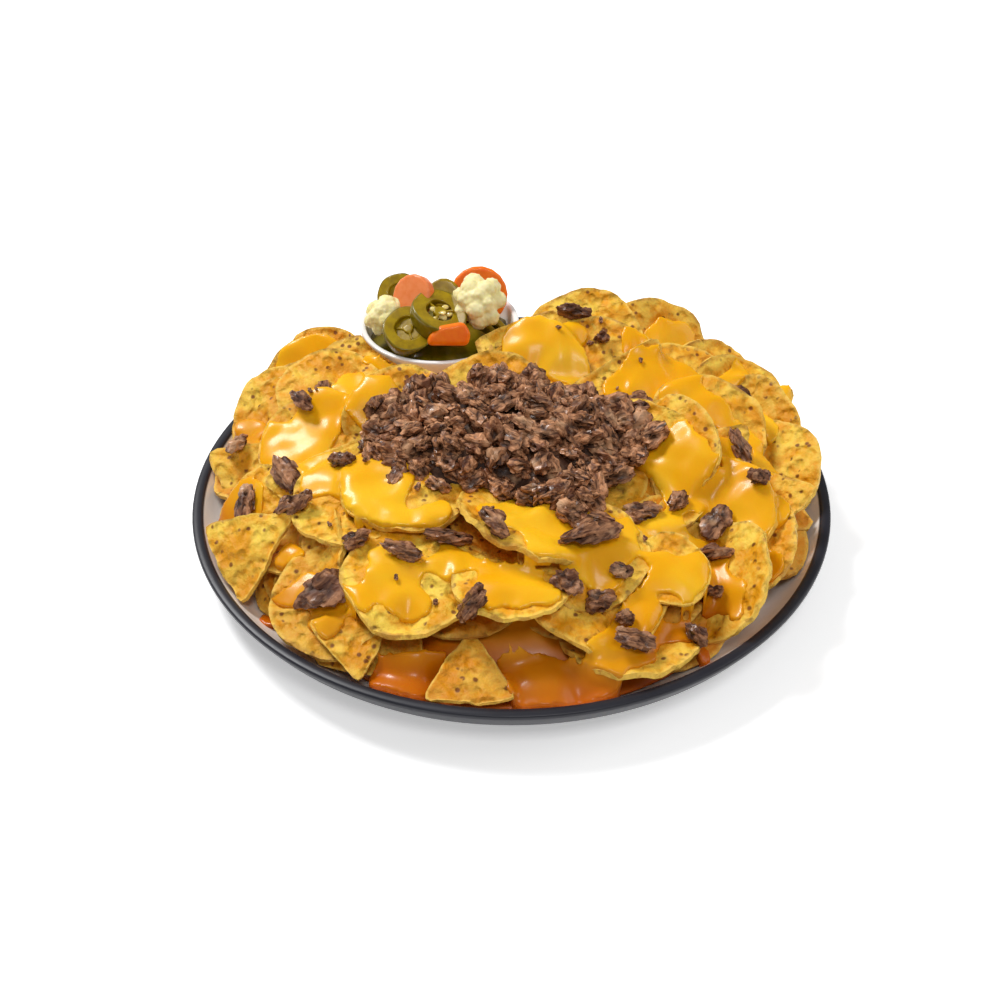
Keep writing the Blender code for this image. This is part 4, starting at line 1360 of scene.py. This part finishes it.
def make_pickles():
    """Each piece of pickled vegetable in its node's place, and the brine and bits below them."""
    fleshes = {name: flesh_finish(name) for name in FLESHES}

    def put(obj, node, flesh, name=None, turn=0.0):
        obj.data.transform(pickle_place(node) @ turned(math.radians(turn)))
        named(obj, name or node + "_piece")
        finished(obj, fleshes[flesh], node, slot=FLESH_SLOTS.get(flesh, flesh))

    put(model_ring(26.5, 14, 4.6, 24, 1), "jalapeno_ring_front", "jalapeno")
    put(model_web(13, 6, 3, 4), "jalapeno_ring_front", "jalapeno", "web_front", 40)
    put(model_slab(round_outline(8, 0, 330, 11), 2, 0.8), "jalapeno_ring_front", "jalapeno", "web_floor")
    put(model_ring(29.5, 14, 4.8, 34, 2), "jalapeno_ring_middle", "jalapeno")
    put(model_web(15, 6, 3, 5), "jalapeno_ring_middle", "jalapeno", "web_middle", 80)
    put(model_ring(22, 10, 4.6, 20, 3), "jalapeno_ring_back", "jalapeno")
    put(model_slab(round_outline(8, 0, 330, 11), 3, 1), "jalapeno_ring_back", "jalapeno", "web_back", 10)
    put(seed_bits(9, 3.4 * MM), "jalapeno_ring_middle", "seeds", "pepper_seeds")
    put(model_slab(round_outline(8.5, 0, 336, 14), 5, 1.4), "jalapeno_slice_back", "jalapeno")
    strips = [model_slab(round_outline(12, 20, 160, 10, 8.2), 6, 1.2) for _ in range(2)]
    strips[1].data.transform(Matrix.Translation((1 * MM, -6 * MM, 0)))
    put(joined("strips", strips), "jalapeno_strip_right", "jalapeno")
    put(model_slab(round_outline(13, 30, 150, 10, 9.5), 5, 1.2), "jalapeno_strip_front", "jalapeno", None, 90)
    put(model_slab(round_outline(11, 0, 336, 14), 7, 1.4), "carrot_slice_left", "pale_carrot")
    put(model_slab(round_outline(15, 0, 340, 17), 7, 1.6), "carrot_slice_right", "carrot", None, 90)
    wedge = ((-11, -4), (9, -6), (11, 0), (8, 6), (-4, 5), (-10, 1))
    put(model_slab(wedge, 9, 2.2), "carrot_wedge", "carrot", None, 90)
    put(model_floret(30 * MM, 12), "cauliflower_right", "cauliflower")
    put(model_floret(25 * MM, 13), "cauliflower_left", "cauliflower", None, 50)
    make_pickle_bed(fleshes["jalapeno"])


def make_stage():
    """A pale floor, soft lamps, and the camera."""
    scene = bpy.context.scene
    floor = added(bpy.ops.mesh.primitive_plane_add, size=8)
    floor.name = "floor"
    finish = Finish("pale_floor", roughness=0.7, emission_strength=0.4, emission_color=(1, 1, 1, 1))
    body = finish.mix(finish.noise(3, 2), (0.93, 0.93, 0.93, 1), (0.96, 0.96, 0.96, 1))
    floor.data.materials.append(finish.feed(base_color=body))
    world = bpy.data.worlds.new("studio")
    scene.world = world
    world.use_nodes = True
    light_of_world = world.node_tree.nodes["Background"].inputs
    light_of_world["Color"].default_value = (1, 1, 1, 1)
    light_of_world["Strength"].default_value = WORLD_LIGHT
    for name, place, size, energy in LAMPS:
        light = bpy.data.lights.new(name, "AREA")
        light.energy, light.size = energy, size
        lamp = bpy.data.objects.new(name, light)
        lamp.location = place
        lamp.rotation_euler = Vector(place).to_track_quat("Z", "Y").to_euler()
        scene.collection.objects.link(lamp)
    camera = bpy.data.cameras.new("camera")
    camera.lens = CAMERA_LENS
    camera.shift_x, camera.shift_y = CAMERA_SHIFT
    eye = bpy.data.objects.new("camera", camera)
    height = CAMERA_DISTANCE * math.sin(CAMERA_ELEVATION) + RIM_HEIGHT
    eye.location = (0, -CAMERA_DISTANCE * math.cos(CAMERA_ELEVATION), height)
    eye.rotation_euler = (math.pi / 2 - CAMERA_ELEVATION, 0, 0)
    scene.collection.objects.link(eye)
    scene.camera = eye
    scene.view_settings.view_transform = "Standard"


def main():
    make_stage()
    plate = make_plate()
    bowl = make_bowl()
    chips = make_chips()
    cheese = sauce_finish()
    core = make_core(cheese)
    ground = Ground(plate, bowl, core, *chips)
    ground.add(make_sauce(ground, cheese))
    make_beef(ground)
    make_pickles()


main()
